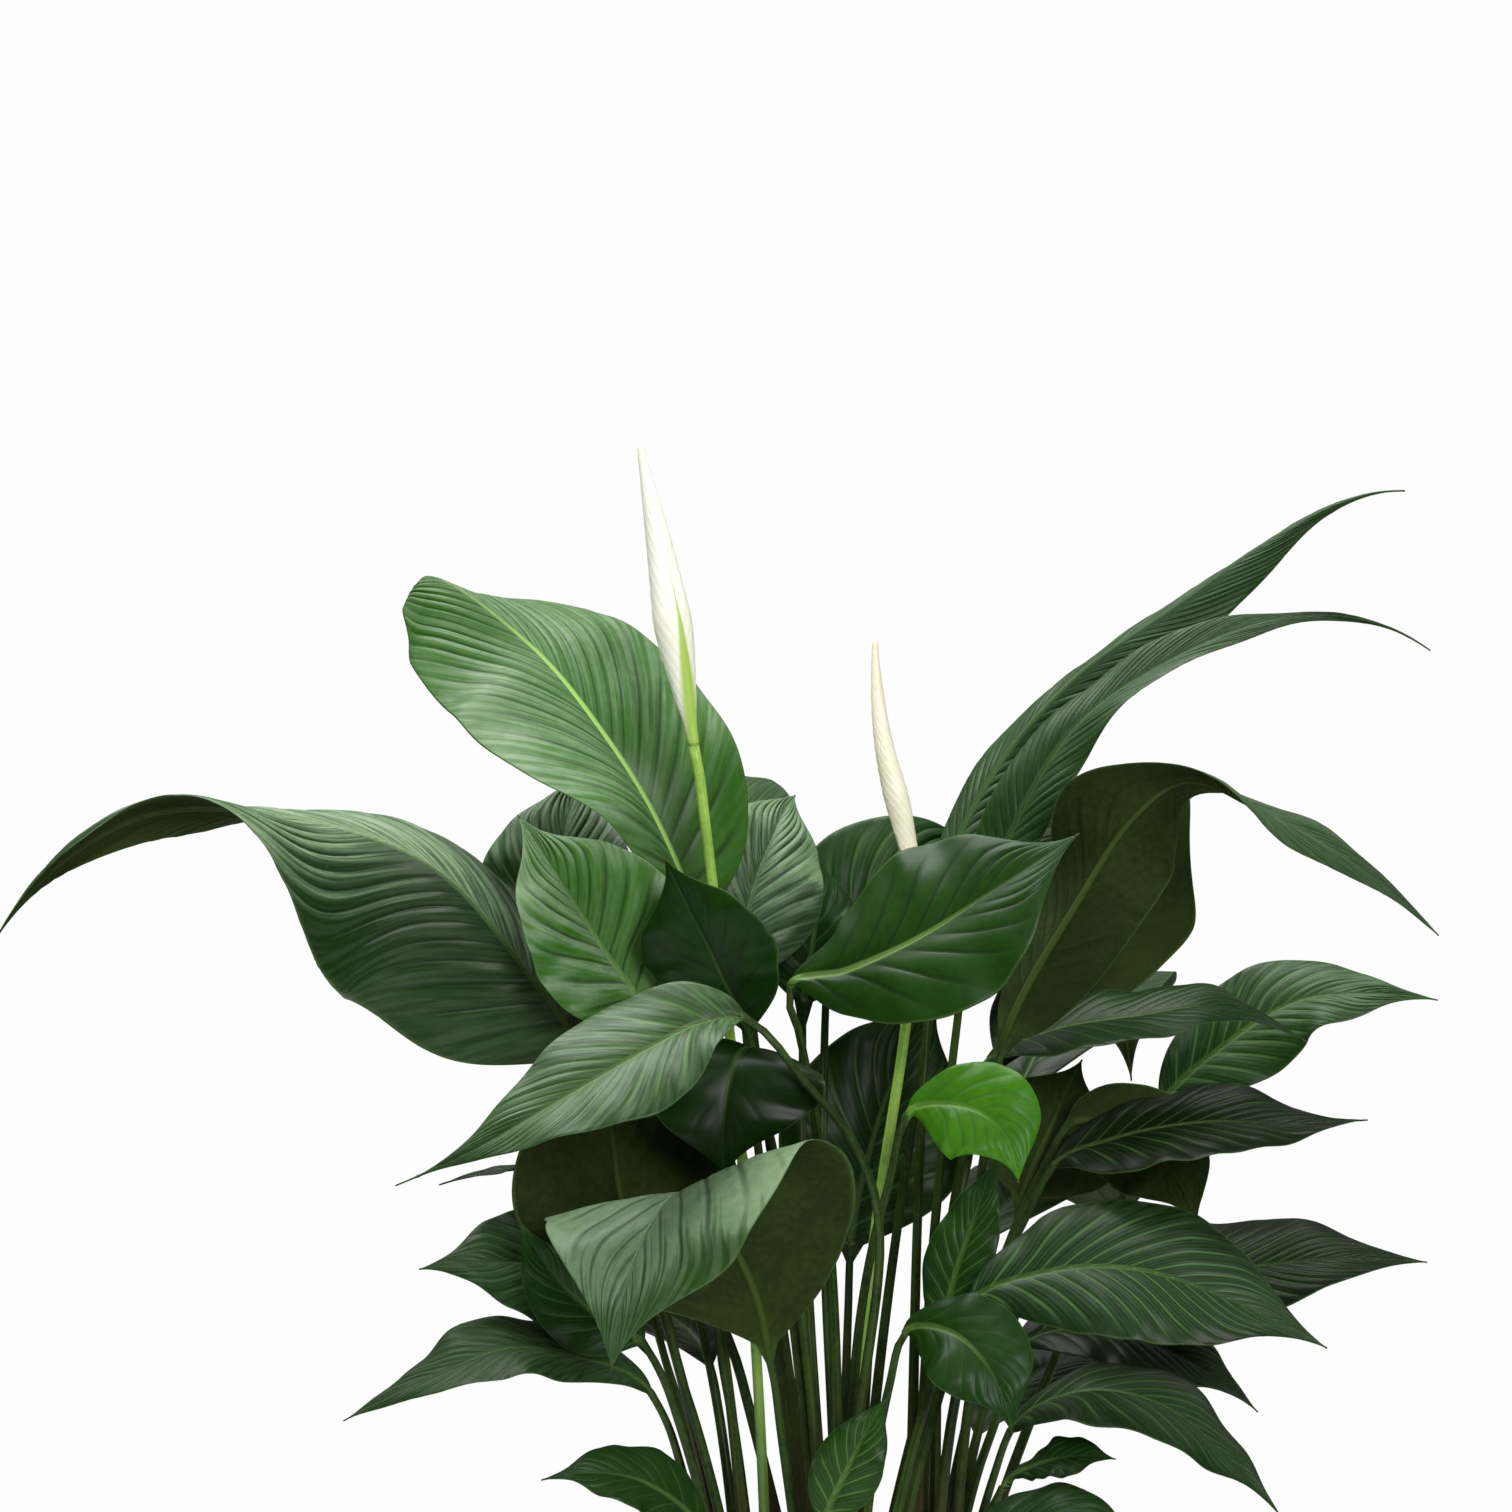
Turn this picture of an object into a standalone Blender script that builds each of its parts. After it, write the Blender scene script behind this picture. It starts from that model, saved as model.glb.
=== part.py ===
"""A potted peace lily: a clump of broad leaves on long stalks, and two furled flowers, in a plain pot.

Every leaf is one grown piece, a stalk that widens into a blade, and is one solid. The leaf plan below
gives each blade's midrib in centimetres: x to the right, y to the back, and height above the soil.
"""

import math

import bmesh
import bpy
import numpy as np
from mathutils import Vector

CM = 0.01

# Pot
POT_HEIGHT = 0.170
POT_TOP_RADIUS = 0.100
POT_BASE_RADIUS = 0.068
POT_WALL = 0.007
POT_FLOOR = 0.010
RIM_HEIGHT = 0.032
RIM_PROUD = 0.004
RIM_ROUND = 0.002
HOLE_COUNT = 3
HOLE_RADIUS = 0.006
HOLE_RING = 0.036
TURN_STEPS = 40

# Soil and the crowns that the leaves grow from
SOIL_BELOW_RIM = 0.020
SOIL_DOME = 0.004
CROWN_RADIUS = 0.021
CROWN_ABOVE_SOIL = 0.010
CROWN_IN_SOIL = 0.018
CROWN_SPREAD = 0.040
CROWN_ROUND = 0.002
FIT_GAP = 0.0004

# Leaves
STALK_FOOT_RADIUS = 0.0031
STALK_TOP_RADIUS = 0.0019
BLADE_THICKNESS = 0.0008
RIB_THICKNESS = 0.0022
TIP_HALF_WIDTH = 0.0006
STALK_STEPS = 5
BLADE_STEPS = 12
TAIL_START = 0.7
TAIL_END = 0.95
TAIL_PINCH = 0.45

# How the stalks are spread on the crowns and kept apart above them
FOOT_REACH = 0.05
LEVEL_STEP = 0.025
STALK_CLEARANCE = 0.0028
SETTLE_ROUNDS = 80

# Flowers
SCAPE_RADIUS = 0.0026
SCAPE_STEPS = 8
SPATHE_WALL = 0.0007
SPATHE_LAP = 0.0013
SPATHE_TURNS = 1.2
SPATHE_AROUND = 10
SPATHE_STEPS = 8
SPATHE_FULL_AT = 0.42
SPATHE_TIP_RADIUS = 0.0004
SPADIX_START = 0.09

SOIL_LEVEL = POT_HEIGHT - SOIL_BELOW_RIM
CROWN_TOP = SOIL_LEVEL + CROWN_ABOVE_SOIL
STALK_SPACING = 2 * STALK_FOOT_RADIUS + STALK_CLEARANCE
CROWNS = {"left": (-1, 0), "right": (1, 0), "front": (0, -1), "back": (0, 1)}

UP = (0, 0, 1)
LEAVES = {}


def leaf(name, crown, width, rib, face=(UP,), cup=(14,), arch=0.2, belly=0.4, draw=1.35, wave=0, waves=2, via=()):
    """Adds a leaf to the plan, in centimetres and degrees.

    rib runs from the blade's base to its tip, and face is where the upper side looks, base to tip. cup
    lifts each half from the midrib, and arch bends its margin down again. The blade is widest at belly
    of its length, and a greater draw gives it a longer tip. The margin has this many waves. The stalk
    passes through via.
    """
    LEAVES[name] = dict(crown=crown, width=width, rib=rib, face=face, cup=cup, arch=arch)
    LEAVES[name].update(belly=belly, draw=draw, wave=wave, waves=waves, via=via)


# Left side, top to bottom
leaf("leaf_upper_left_broad", "back", 13.6, belly=0.33, draw=1.15, cup=(38, 32, 4, -42, -30), wave=0.3,
     rib=[(-7.4, 1, 38.8), (-9.2, 0.6, 43.5), (-11.8, 0.8, 47.8), (-15.4, 2, 52.2), (-20.7, 4.2, 55.8), (-20.4, 9.5, 52.8)],
     face=[(0.65, -0.7, 0.45), (0.6, -0.7, 0.45), (0.4, -0.75, 0.5), (0, -0.5, 0.8), (-0.3, 0.2, 0.9)])
leaf("leaf_left_long_arch", "left", 14, belly=0.29, cup=(-20, -40, -30, 5, 10, 10), wave=0.4, waves=2,
     rib=[(-12.9, -3, 32), (-15.6, -4.3, 36.4), (-20.3, -5.5, 41.6), (-27.4, -6, 44), (-35, -6, 43.7), (-42, -5, 37.5)],
     face=[(0.4, -0.9, 0.3), (0.4, -0.9, 0.4), (0.1, -0.7, 0.7), (0.1, 0.1, 1), (-0.3, 0.35, 0.95), (-0.4, 0.5, 0.7)])
leaf("leaf_left_behind", "back", 9.4,
     rib=[(-12.2, 6, 33.2), (-14, 7, 38.2), (-14, 8, 42.6), (-12.4, 11, 46)],
     face=[(-0.3, -1, 0.1)])
leaf("leaf_centre_left_glossy", "left", 9.8, cup=(25, 28, 20), arch=0.15, belly=0.42,
     rib=[(-9.4, -3.4, 33.6), (-11.8, -4.5, 37.4), (-14, -5.2, 41), (-16, -4.5, 44)],
     face=[(0.4, -0.9, 0.2), (0.2, -0.8, 0.3)])
leaf("leaf_centre_dark", "front", 7.8, cup=(16,), belly=0.5,
     rib=[(-4.5, -4.5, 33), (-6, -6.5, 36.5), (-7.6, -7.5, 39.8), (-8.7, -7.5, 42)],
     face=[(-0.5, -0.9, -0.1)])
leaf("leaf_front_left_sweep", "front", 7.4, cup=(40, 12, 12, 20, 30), belly=0.3, draw=2, wave=0.3,
     rib=[(-4.7, -10.2, 34.2), (-6.8, -10.8, 34.1), (-9.4, -11.6, 32.9), (-12.4, -12.5, 31.2), (-15.2, -13, 29.6),
          (-18, -13, 28), (-21.7, -13, 26.3)],
     face=[(0, -0.7, 0.8), (0, -0.7, 0.8), (0.1, -0.9, 0.5)], via=[(1.5, -6.3, 18), (4, -9.5, 28)])
leaf("leaf_centre_hanging", "front", 9.6, cup=(8,),
     rib=[(-4.1, -5.2, 32), (-5, -7.6, 32.4), (-5.6, -8.6, 30.6), (-5.7, -8.3, 26.2)],
     face=[(0, -0.4, 1), (0, -1, 0.1)])
leaf("leaf_front_folded", "front", 15.8, cup=(8,), arch=0.1, belly=0.46,
     rib=[(-3.6, -5, 17.4), (-4.7, -6.5, 21.6), (-7.5, -9, 25.7), (-9.4, -12, 24.2), (-11.2, -13.4, 17.4)],
     face=[(0, 1, 0.3), (-0.3, 0.1, 1), (0, -1, 0.2)])
leaf("leaf_left_shaded", "left", 11, cup=(12,),
     rib=[(-8.8, -2.5, 19.5), (-10.8, -4, 24.5), (-11.5, -4.7, 29.5), (-12.8, -4, 34.3)],
     face=[(0.1, 1, 0.3)])
leaf("leaf_left_narrow_drop", "left", 4.6,
     rib=[(-9.8, -3, 17.6), (-12.4, -3.6, 19.3), (-14.6, -4, 21.6), (-16, -4, 24)],
     face=[(-0.3, -1, 0.4)])
leaf("leaf_left_hidden_tip", "left", 5.5,
     rib=[(-8.5, 4, 23), (-13, 4, 25.8), (-17, 3, 25.8), (-20.2, 2.5, 25.1)])
leaf("leaf_left_mid", "left", 8, cup=(10,),
     rib=[(-9.5, 1, 18.6), (-13, 0, 20.9), (-17, -1.5, 21.6), (-21, -2.5, 21.3)],
     face=[(0, -0.8, 0.7)])
leaf("leaf_left_low_long", "left", 5.8, wave=0.2,
     rib=[(-9.4, -2, 15), (-13, -3, 17), (-16.5, -4, 17.5), (-20, -5, 16.3), (-24.6, -6, 14.1)],
     face=[(0, -0.5, 1)])
leaf("leaf_left_lowest", "left", 4.6,
     rib=[(-6.8, -4, 8.2), (-9.5, -5.5, 10.9), (-12, -6.5, 11.6), (-14.8, -7, 11.3)],
     face=[(0.1, -0.7, 0.7)])

# Centre and right, top to bottom
leaf("leaf_centre_right_bright", "front", 9.5, cup=(12,), arch=0.25, belly=0.5, wave=0.2, waves=3,
     rib=[(-2.6, -7.2, 35.6), (0.2, -8.5, 36.5), (3.8, -9.5, 38.2), (7.8, -10, 40.8), (11.6, -10, 43.3)],
     face=[(-0.3, -1, 0.4), (-0.5, -1, 0.5)], via=[(-1.2, -6.3, 31)])
leaf("leaf_right_top", "right", 4.8, cup=(10, -25, -40, -40, -25), arch=0.1, wave=0.3, waves=2,
     rib=[(4.8, 2.6, 38.5), (6.9, 4, 44.4), (11.6, 5, 50.4), (17.4, 6, 54.5), (22.4, 7, 57.9), (26, 7.5, 59.7),
          (28.9, 7.5, 60.1)],
     face=[(-0.8, -0.6, 0.2), (-0.5, -0.8, 0.4), (-0.3, -0.6, 0.7), (-0.2, -0.5, 0.85)])
leaf("leaf_right_second", "right", 3.8, belly=0.25, draw=1.3, cup=(12, 15, 20, 15, 10), wave=0.3,
     rib=[(6.5, 0, 37.7), (8.5, -0.3, 42.9), (11.7, 0, 48.2), (16.5, 0.6, 51.6), (21.8, 1, 53.6), (26.2, 1.4, 53.6),
          (29.7, 1.7, 52)],
     face=[(-0.4, -0.9, 0.2), (-0.4, -0.7, 0.5), (-0.1, -0.5, 0.8), (0, -0.5, 0.8)])
leaf("leaf_right_drooping", "right", 8, cup=(50, 50, 5, 12, 10), belly=0.3, draw=1, wave=0.2,
     rib=[(8.1, -4.8, 33), (11.7, -5.6, 39.8), (14.5, -5.8, 44), (17, -5.8, 45.7), (20.2, -6, 44.5), (24.6, -6.5, 42.1),
          (29.4, -7, 38.1)],
     face=[(0.4, 0.9, -0.1), (0.5, 0.85, 0.1), (0.1, 0.3, 0.95), (0.3, -0.4, 0.85), (0.5, -0.6, 0.6)],
     via=[(7.2, -4.6, 28.6)])
leaf("leaf_right_shadowed", "right", 9, cup=(8,), belly=0.66, draw=0.9,
     rib=[(7.2, 5, 29.5), (10.7, 5.2, 34.5), (14.3, 5.6, 39.8), (17.8, 6.5, 44.8)],
     face=[(-0.3, 1, 0.3)])
leaf("leaf_right_glossy", "right", 6, cup=(12,),
     rib=[(7.2, -0.5, 31.2), (10.5, -2.5, 33.2), (14.5, -4, 34), (18.7, -5, 34.5), (23, -5.5, 32.8)],
     face=[(0, -0.5, 1)])
leaf("leaf_right_far", "right", 5.8, cup=(10,),
     rib=[(16.2, 2.2, 29.2), (19.3, 1.5, 32.2), (23, 1, 34.5), (26.5, 0, 34.9), (29.9, -0.5, 34.6)],
     face=[(0.3, -0.8, 0.7)], via=[(12.5, 5.5, 20)])
leaf("leaf_right_mid", "front", 7.2, cup=(12,), wave=0.2,
     rib=[(10.5, -3, 26.4), (13.5, -4, 27.9), (17.8, -5, 28.8), (22, -5.5, 28.8), (26, -6, 29)],
     face=[(0, -0.5, 0.9)])
leaf("leaf_right_under", "right", 6,
     rib=[(11.5, 0.2, 28.3), (14.5, 0, 27.8), (16.8, -0.4, 25.8), (17.8, -0.6, 23.1)],
     face=[(-0.2, 0.9, 0.4)])
leaf("leaf_right_broad", "front", 8.2, cup=(10,), belly=0.45,
     rib=[(6.2, -6.4, 19.8), (10, -7.4, 21.6), (14.5, -8, 21.8), (19.2, -8.7, 20.3), (23.8, -9, 18)],
     face=[(0.05, -0.85, 0.6)])
leaf("leaf_right_behind_broad", "right", 7, cup=(10,), belly=0.5,
     rib=[(10, 3, 20.5), (15, 1, 21.3), (19.5, -0.5, 21.2), (24.5, -2, 21.8), (29.2, -3, 21.7)],
     face=[(0, -0.7, 0.8)])
leaf("leaf_right_pointed", "right", 5.5,
     rib=[(9, 1, 17), (13, 1, 18), (17, 0, 16.8), (20.9, -1, 14)],
     face=[(0, -0.6, 0.8)])
leaf("leaf_right_low_arch", "right", 8, cup=(10,),
     rib=[(8.4, -3, 13.2), (11.8, -4.5, 15.4), (15.6, -6, 15), (19, -6.5, 12.5), (21.8, -7, 9.3)],
     face=[(0.1, -0.4, 1), (0.5, -0.4, 0.9)])
leaf("leaf_right_low_small", "right", 2.8, belly=0.6,
     rib=[(8, -4, 10.5), (10.5, -6, 12.2), (13.5, -7.5, 12.4)],
     face=[(0, -0.7, 0.7)])
leaf("leaf_right_lowest", "front", 5.5,
     rib=[(5.6, -6, 6.5), (8.5, -7.6, 9), (12, -9.5, 9.4), (15, -11, 7.4)],
     face=[(0, -0.6, 0.8)])
leaf("leaf_centre_young", "front", 5.6, cup=(10,), belly=0.5,
     rib=[(3.2, -6.5, 29.2), (5.4, -8, 29.9), (7.7, -9.5, 28.9), (8.6, -10, 26.2)],
     face=[(0, -1, 0.4)])
leaf("leaf_front_right_small", "front", 5.4, cup=(10,), belly=0.5,
     rib=[(3, -7, 18.4), (5.1, -9, 18.9), (7.1, -10.5, 17.3), (8.3, -11, 14)],
     face=[(0, -1, 0.4)])
leaf("leaf_right_narrow", "front", 3.6,
     rib=[(5, -4.4, 18), (5.6, -4.7, 21), (6.6, -4.8, 24), (8, -4.6, 27.5)],
     face=[(-0.3, -1, 0.1)])
leaf("leaf_front_low_young", "front", 3.6,
     rib=[(-0.8, -8.5, 9.4), (0.2, -9.5, 12), (1.2, -10, 14), (2.4, -10, 16)],
     face=[(0, -1, 0.1)])
leaf("leaf_centre_back_grey", "back", 7.5,
     rib=[(-5, 3, 35), (-4.5, 3, 39.5), (-3.2, 4.5, 43), (-2.2, 7.5, 44.6)],
     face=[(0.1, -1, 0.1)])
leaf("leaf_centre_back_small", "back", 5.5,
     rib=[(-1.8, 5.5, 34), (-1.2, 6, 38), (-1, 7, 41.8)],
     face=[(0, -1, 0.1)])
leaf("leaf_centre_back_right", "back", 8,
     rib=[(-0.6, 6.5, 35), (1.4, 8.5, 39), (4.5, 9.8, 41), (8.5, 11.5, 41)],
     face=[(0, -1, 0.3)])
leaf("leaf_right_back_tip", "back", 5.5,
     rib=[(5, 5, 35), (7.8, 6, 40.5), (11, 7.5, 43), (14.5, 9, 42)],
     face=[(0, -0.6, 0.8)])
leaf("leaf_right_inner", "right", 8,
     rib=[(9.2, 1.6, 24.5), (10.6, 1.8, 28), (12.2, 1.8, 31.5)],
     face=[(0.2, 1, 0.2)])
leaf("leaf_back_high", "back", 10,
     rib=[(-4.5, 8, 34), (-6, 12, 41), (-7.5, 17.5, 44.5), (-8.5, 24, 44), (-9.5, 31, 39)],
     face=[(0, -0.4, 1), (0, 0.4, 1)])
leaf("leaf_back_left_high", "back", 9.5, wave=0.3,
     rib=[(-7.5, 8, 33), (-10.5, 12.5, 37.5), (-12.5, 18, 39), (-14.5, 25, 36.5), (-15.5, 31, 31)],
     face=[(0.1, -0.3, 1), (0, 0.5, 1)])
leaf("leaf_back_right_high", "back", 10,
     rib=[(3.5, 10.5, 34), (5.5, 15, 38), (7.5, 20, 39), (9, 26, 37.5), (10, 32, 32)],
     face=[(0, -0.3, 1), (0, 0.5, 1)])
leaf("leaf_back_right_upper", "back", 9, wave=0.3,
     rib=[(9, 8, 29), (11.5, 12.5, 33), (13.5, 18, 34.5), (15, 24.5, 33), (16, 30, 28.5)],
     face=[(0, -0.3, 1), (0, 0.5, 1)])
leaf("leaf_back_mid", "back", 10,
     rib=[(0.6, 6.5, 21.5), (1.6, 7.5, 26.5), (3.2, 8.4, 31), (5.4, 9.6, 34.6)],
     face=[(0.1, -1, 0.2)])
leaf("leaf_back_left_mid", "left", 8.5,
     rib=[(-7, 8, 24), (-9, 12.5, 27.2), (-11, 18, 28.2), (-13, 25, 26.5), (-14.5, 31, 22.5)],
     face=[(0, -0.3, 1), (0, 0.5, 1)])
leaf("leaf_back_right_mid", "back", 8.5,
     rib=[(7, 8, 21.5), (9.5, 12.5, 24), (12, 18, 24.5), (14, 24, 23), (15.5, 30, 19)],
     face=[(0, -0.3, 1), (0, 0.5, 1)])
leaf("leaf_back_left_low", "left", 6.5,
     rib=[(-6.5, 6, 15.5), (-9.5, 11, 18.2), (-12, 16, 18.6), (-14, 21, 17.6), (-15.5, 26, 15.8)],
     face=[(0, -0.3, 1), (0, 0.3, 1)])
leaf("leaf_back_right_low", "right", 7,
     rib=[(7, 6, 12), (10, 11, 14.6), (13, 16, 15), (15.5, 21.5, 13.4), (17, 27, 10.5)],
     face=[(0, -0.3, 1), (0, 0.4, 1)])


def unit(v):
    return v / np.linalg.norm(v)


def across(v, axis):
    """The part of v at right angles to axis, as a unit vector."""
    return unit(v - np.dot(v, axis) * axis)


def hermite(points, tangents, t):
    """A point on the smooth curve through points, at t from 0 to 1 of its chord length."""
    steps = np.linalg.norm(np.diff(points, axis=0), axis=1)
    marks = np.concatenate([[0], np.cumsum(steps)])
    at = t * marks[-1]
    i = min(int(np.searchsorted(marks, at, side="right")) - 1, len(steps) - 1)
    u = (at - marks[i]) / steps[i]
    a, b = points[i], points[i + 1]
    start, end = tangents[i] * steps[i], tangents[i + 1] * steps[i]
    ease = u * u * (3 - 2 * u)
    return a + (b - a) * ease + start * (u * (1 - u) ** 2) - end * (u * u * (1 - u))


def chord_tangents(points):
    """The direction of the curve at each of its points, from the chords beside it."""
    chords = [unit(step) for step in np.diff(points, axis=0)]
    inner = [unit(a + b) for a, b in zip(chords, chords[1:])]
    first = unit(2 * chords[0] - inner[0]) if inner else chords[0]
    last = unit(2 * chords[-1] - inner[-1]) if inner else chords[-1]
    return [first, *inner, last]


def place(point):
    """A point of the plan, in centimetres above the soil, as metres in the part's frame."""
    return np.array([point[0] * CM, point[1] * CM, SOIL_LEVEL + point[2] * CM])


def pushed_apart(spots, distance):
    """The spots after each pair that is nearer than distance has moved apart by half of what is missing."""
    away = spots[:, None] - spots[None]
    near = np.linalg.norm(away, axis=2) + 1e-9
    np.fill_diagonal(near, 1)
    short = np.clip(distance - near, 0, None) / near / 2
    return spots + (away * short[:, :, None]).sum(axis=1)


def feet(heads):
    """Where each stalk stands on its crown: on the side that it leans to, and clear of its neighbours."""
    found = {}
    for crown, centre in CROWNS.items():
        middle = np.array(centre) * CROWN_SPREAD
        names = [name for name, (owner, _) in heads.items() if owner == crown]
        lean = np.array([heads[name][1][:2] - middle for name in names])
        rise = np.array([[heads[name][1][2] - CROWN_TOP] for name in names])
        spots = FOOT_REACH * lean / (rise + FOOT_REACH)
        for _ in range(SETTLE_ROUNDS):
            spots = pushed_apart(spots, 2 * STALK_FOOT_RADIUS + 2 * FIT_GAP)
            out = np.linalg.norm(spots, axis=1, keepdims=True)
            most = CROWN_RADIUS - CROWN_ROUND - STALK_FOOT_RADIUS
            spots = spots * np.minimum(1, most / (out + 1e-9))
        for name, spot in zip(names, spots):
            found[name] = np.array([*(spot + middle), CROWN_TOP + FIT_GAP])
    return found


def settled(curves):
    """Moves the stalks sideways at evenly spaced levels until they stand clear of one another.

    curves maps a name to (points, tangents). It returns each stalk's points, from its foot to its end.
    """
    names = list(curves)
    top = max(curves[name][0][-1][2] for name in names)
    levels = np.arange(CROWN_TOP + LEVEL_STEP, top, LEVEL_STEP)
    start = {}
    for name, (points, tangents) in curves.items():
        fine = np.array([hermite(points, tangents, t) for t in np.linspace(0, 1, 60)])
        inside = levels < points[-1][2] - LEVEL_STEP / 2
        start[name] = np.stack([np.interp(levels[inside], fine[:, 2], fine[:, axis]) for axis in (0, 1)], axis=1)
    spots = {name: np.array(start[name]) for name in names}
    for step in range(SETTLE_ROUNDS):
        for k in range(len(levels)):
            here = [name for name in names if len(spots[name]) > k]
            if len(here) > 1:
                moved = pushed_apart(np.array([spots[name][k] for name in here]), STALK_SPACING)
                for name, spot in zip(here, moved):
                    spots[name][k] = spot
        if step > SETTLE_ROUNDS * 0.8:
            continue
        for name, found in spots.items():
            if len(found) > 1:
                ends = curves[name][0][0][:2], curves[name][0][-1][:2]
                wide = np.array([ends[0], *found, ends[1]])
                found += 0.15 * (wide[:-2] + wide[2:] - 2 * found) + 0.04 * (start[name] - found)
    return {
        name: [points[0], *(np.array([*spot, z]) for spot, z in zip(spots[name], levels)), points[-1]]
        for name, (points, _) in curves.items()
    }


def stalk_curve(foot, plan):
    """(points, tangents) of a leaf's stalk, which leaves the crown upright and runs into the midrib."""
    rib = [place(p) for p in plan["rib"]]
    points = [foot, *(place(p) for p in plan["via"]), rib[0]]
    tangents = chord_tangents(points)
    tangents[0] = unit(np.array([0, 0, 1.2]) + unit(points[1] - foot))
    tangents[-1] = unit(unit(rib[0] - points[-2]) + chord_tangents(rib)[0])
    return points, tangents


def scape_curve(foot, flower):
    points = [foot, *(place(p) for p in flower["path"])]
    tangents = chord_tangents(points)
    tangents[0] = np.array([0, 0, 1.0])
    return points, tangents


def stalks():
    """name -> (points, tangents) of every stalk, leaf or flower."""
    heads = {name: (plan["crown"], place(plan["rib"][0])) for name, plan in LEAVES.items()}
    heads.update({f"scape_{name}": (flower["crown"], place(flower["path"][1])) for name, flower in FLOWERS.items()})
    stand = feet(heads)
    curves = {name: stalk_curve(stand[name], plan) for name, plan in LEAVES.items()}
    curves.update({f"scape_{name}": scape_curve(stand[f"scape_{name}"], f) for name, f in FLOWERS.items()})
    found = {}
    for name, points in settled(curves).items():
        tangents = chord_tangents(points)
        tangents[0], tangents[-1] = np.array([0, 0, 1.0]), curves[name][1][-1]
        found[name] = points, tangents
    return found


def half_width(t, plan):
    """Half the blade's width at t of its length: it swells from the stalk and draws out to a thin tail."""
    rise = plan["draw"] * plan["belly"] / (1 - plan["belly"])
    swell = (t / plan["belly"]) ** rise * ((1 - t) / (1 - plan["belly"])) ** plan["draw"]
    tail = min(max((t - TAIL_START) / (TAIL_END - TAIL_START), 0), 1)
    swell *= 1 - TAIL_PINCH * tail * tail * (3 - 2 * tail)
    return max(0.5 * plan["width"] * CM * swell, TIP_HALF_WIDTH)


def blade_offset(t, s, plan):
    """(sideways, up) from the midrib to the blade at s of its half width, from -1 to 1."""
    w, a = half_width(t, plan), abs(s)
    lift = math.radians(between(plan["cup"], t))
    ripple = plan["wave"] * CM * math.sin(math.tau * plan["waves"] * t + (1.3 if s > 0 else 0))
    up = w * (a * math.sin(lift) - plan["arch"] * a * a) + ripple * a * a * math.sin(math.pi * t)
    return s * w * math.cos(lift), up


def between(values, t):
    """The value at t of the way along a list that is spread evenly from base to tip."""
    values = np.array(values, float)
    at = t * (len(values) - 1)
    i = min(int(at), len(values) - 1)
    j = min(i + 1, len(values) - 1)
    return values[i] + (values[j] - values[i]) * (at - i)


RING = [(-1, 0), (-0.5, 1), (0, 1), (0.5, 1), (1, 0), (0.5, -1), (0, -1), (-0.5, -1)]
RING_ANGLES = [math.radians(a) for a in (180, 135, 90, 45, 0, -45, -90, -135)]


def along_curve(points, tangents, t):
    """(place, direction) on a curve at t of its length."""
    ahead, behind = hermite(points, tangents, min(t + 0.01, 1)), hermite(points, tangents, max(t - 0.01, 0))
    return hermite(points, tangents, t), unit(ahead - behind)


def round_sections(points, tangents, marks, first_up):
    """Eight-sided rounds on a curve, one for each (t, radius) of marks."""
    up = np.array(first_up, float)
    sections = []
    for t, radius in marks:
        centre, along = along_curve(points, tangents, t)
        up = across(up, along)
        side = np.cross(along, up)
        sections.append([centre + radius * (side * math.cos(a) + up * math.sin(a)) for a in RING_ANGLES])
    return sections


def leaf_sections(stalk, plan):
    """The leaf's outlines from foot to tip: rounds up the stalk, then flat lens shapes along the blade."""
    rib = [place(p) for p in plan["rib"]]
    tangents = chord_tangents(rib)
    tangents[0] = stalk[1][-1]
    blade = []
    for i in range(1, BLADE_STEPS + 1):
        t = i / BLADE_STEPS
        centre, along = along_curve(rib, tangents, t)
        up = across(between(plan["face"], t), along)
        side = np.cross(along, up)
        thick = BLADE_THICKNESS / 2 * (1 - 0.5 * t)
        section = []
        for s, face in RING:
            sideways, lift = blade_offset(t, s, plan)
            depth = face * (RIB_THICKNESS * (1 - 0.8 * t) / 2 if s == 0 and face < 0 else thick)
            section.append(centre + side * sideways + up * (lift + depth))
        blade.append(section)
    up = across(between(plan["face"], 0), stalk[1][-1])
    marks = [(1 - i / STALK_STEPS) for i in range(STALK_STEPS + 1)]
    marks = [(t, STALK_FOOT_RADIUS + (STALK_TOP_RADIUS - STALK_FOOT_RADIUS) * t) for t in marks]
    return round_sections(*stalk, marks, up)[::-1] + blade


def loft(name, sections, material):
    """A closed solid through sections of the same number of points, which run clockwise seen from the tip."""
    mesh = bpy.data.meshes.new(name)
    bm = bmesh.new()
    rings = [[bm.verts.new(p) for p in section] for section in sections]
    for low, high in zip(rings, rings[1:]):
        for k in range(len(low)):
            j = (k + 1) % len(low)
            bm.faces.new((low[k], high[k], high[j], low[j]))
    bm.faces.new(rings[0])
    bm.faces.new(rings[-1][::-1])
    bmesh.ops.triangulate(bm, faces=bm.faces[:])
    bmesh.ops.recalc_face_normals(bm, faces=bm.faces[:])
    bm.to_mesh(mesh)
    bm.free()
    mesh.shade_smooth()
    return add(name, mesh, material)


def add(name, data, material):
    made = bpy.data.objects.new(name, data)
    PARTS.objects.link(made)
    data.materials.append(material)
    return made


def finish(name, colour, roughness):
    material = bpy.data.materials.new(name)
    material.use_nodes = True
    shader = material.node_tree.nodes["Principled BSDF"]
    shader.inputs["Base Color"].default_value = (*colour, 1)
    shader.inputs["Roughness"].default_value = roughness
    shader.inputs["Metallic"].default_value = 0
    return material


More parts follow.
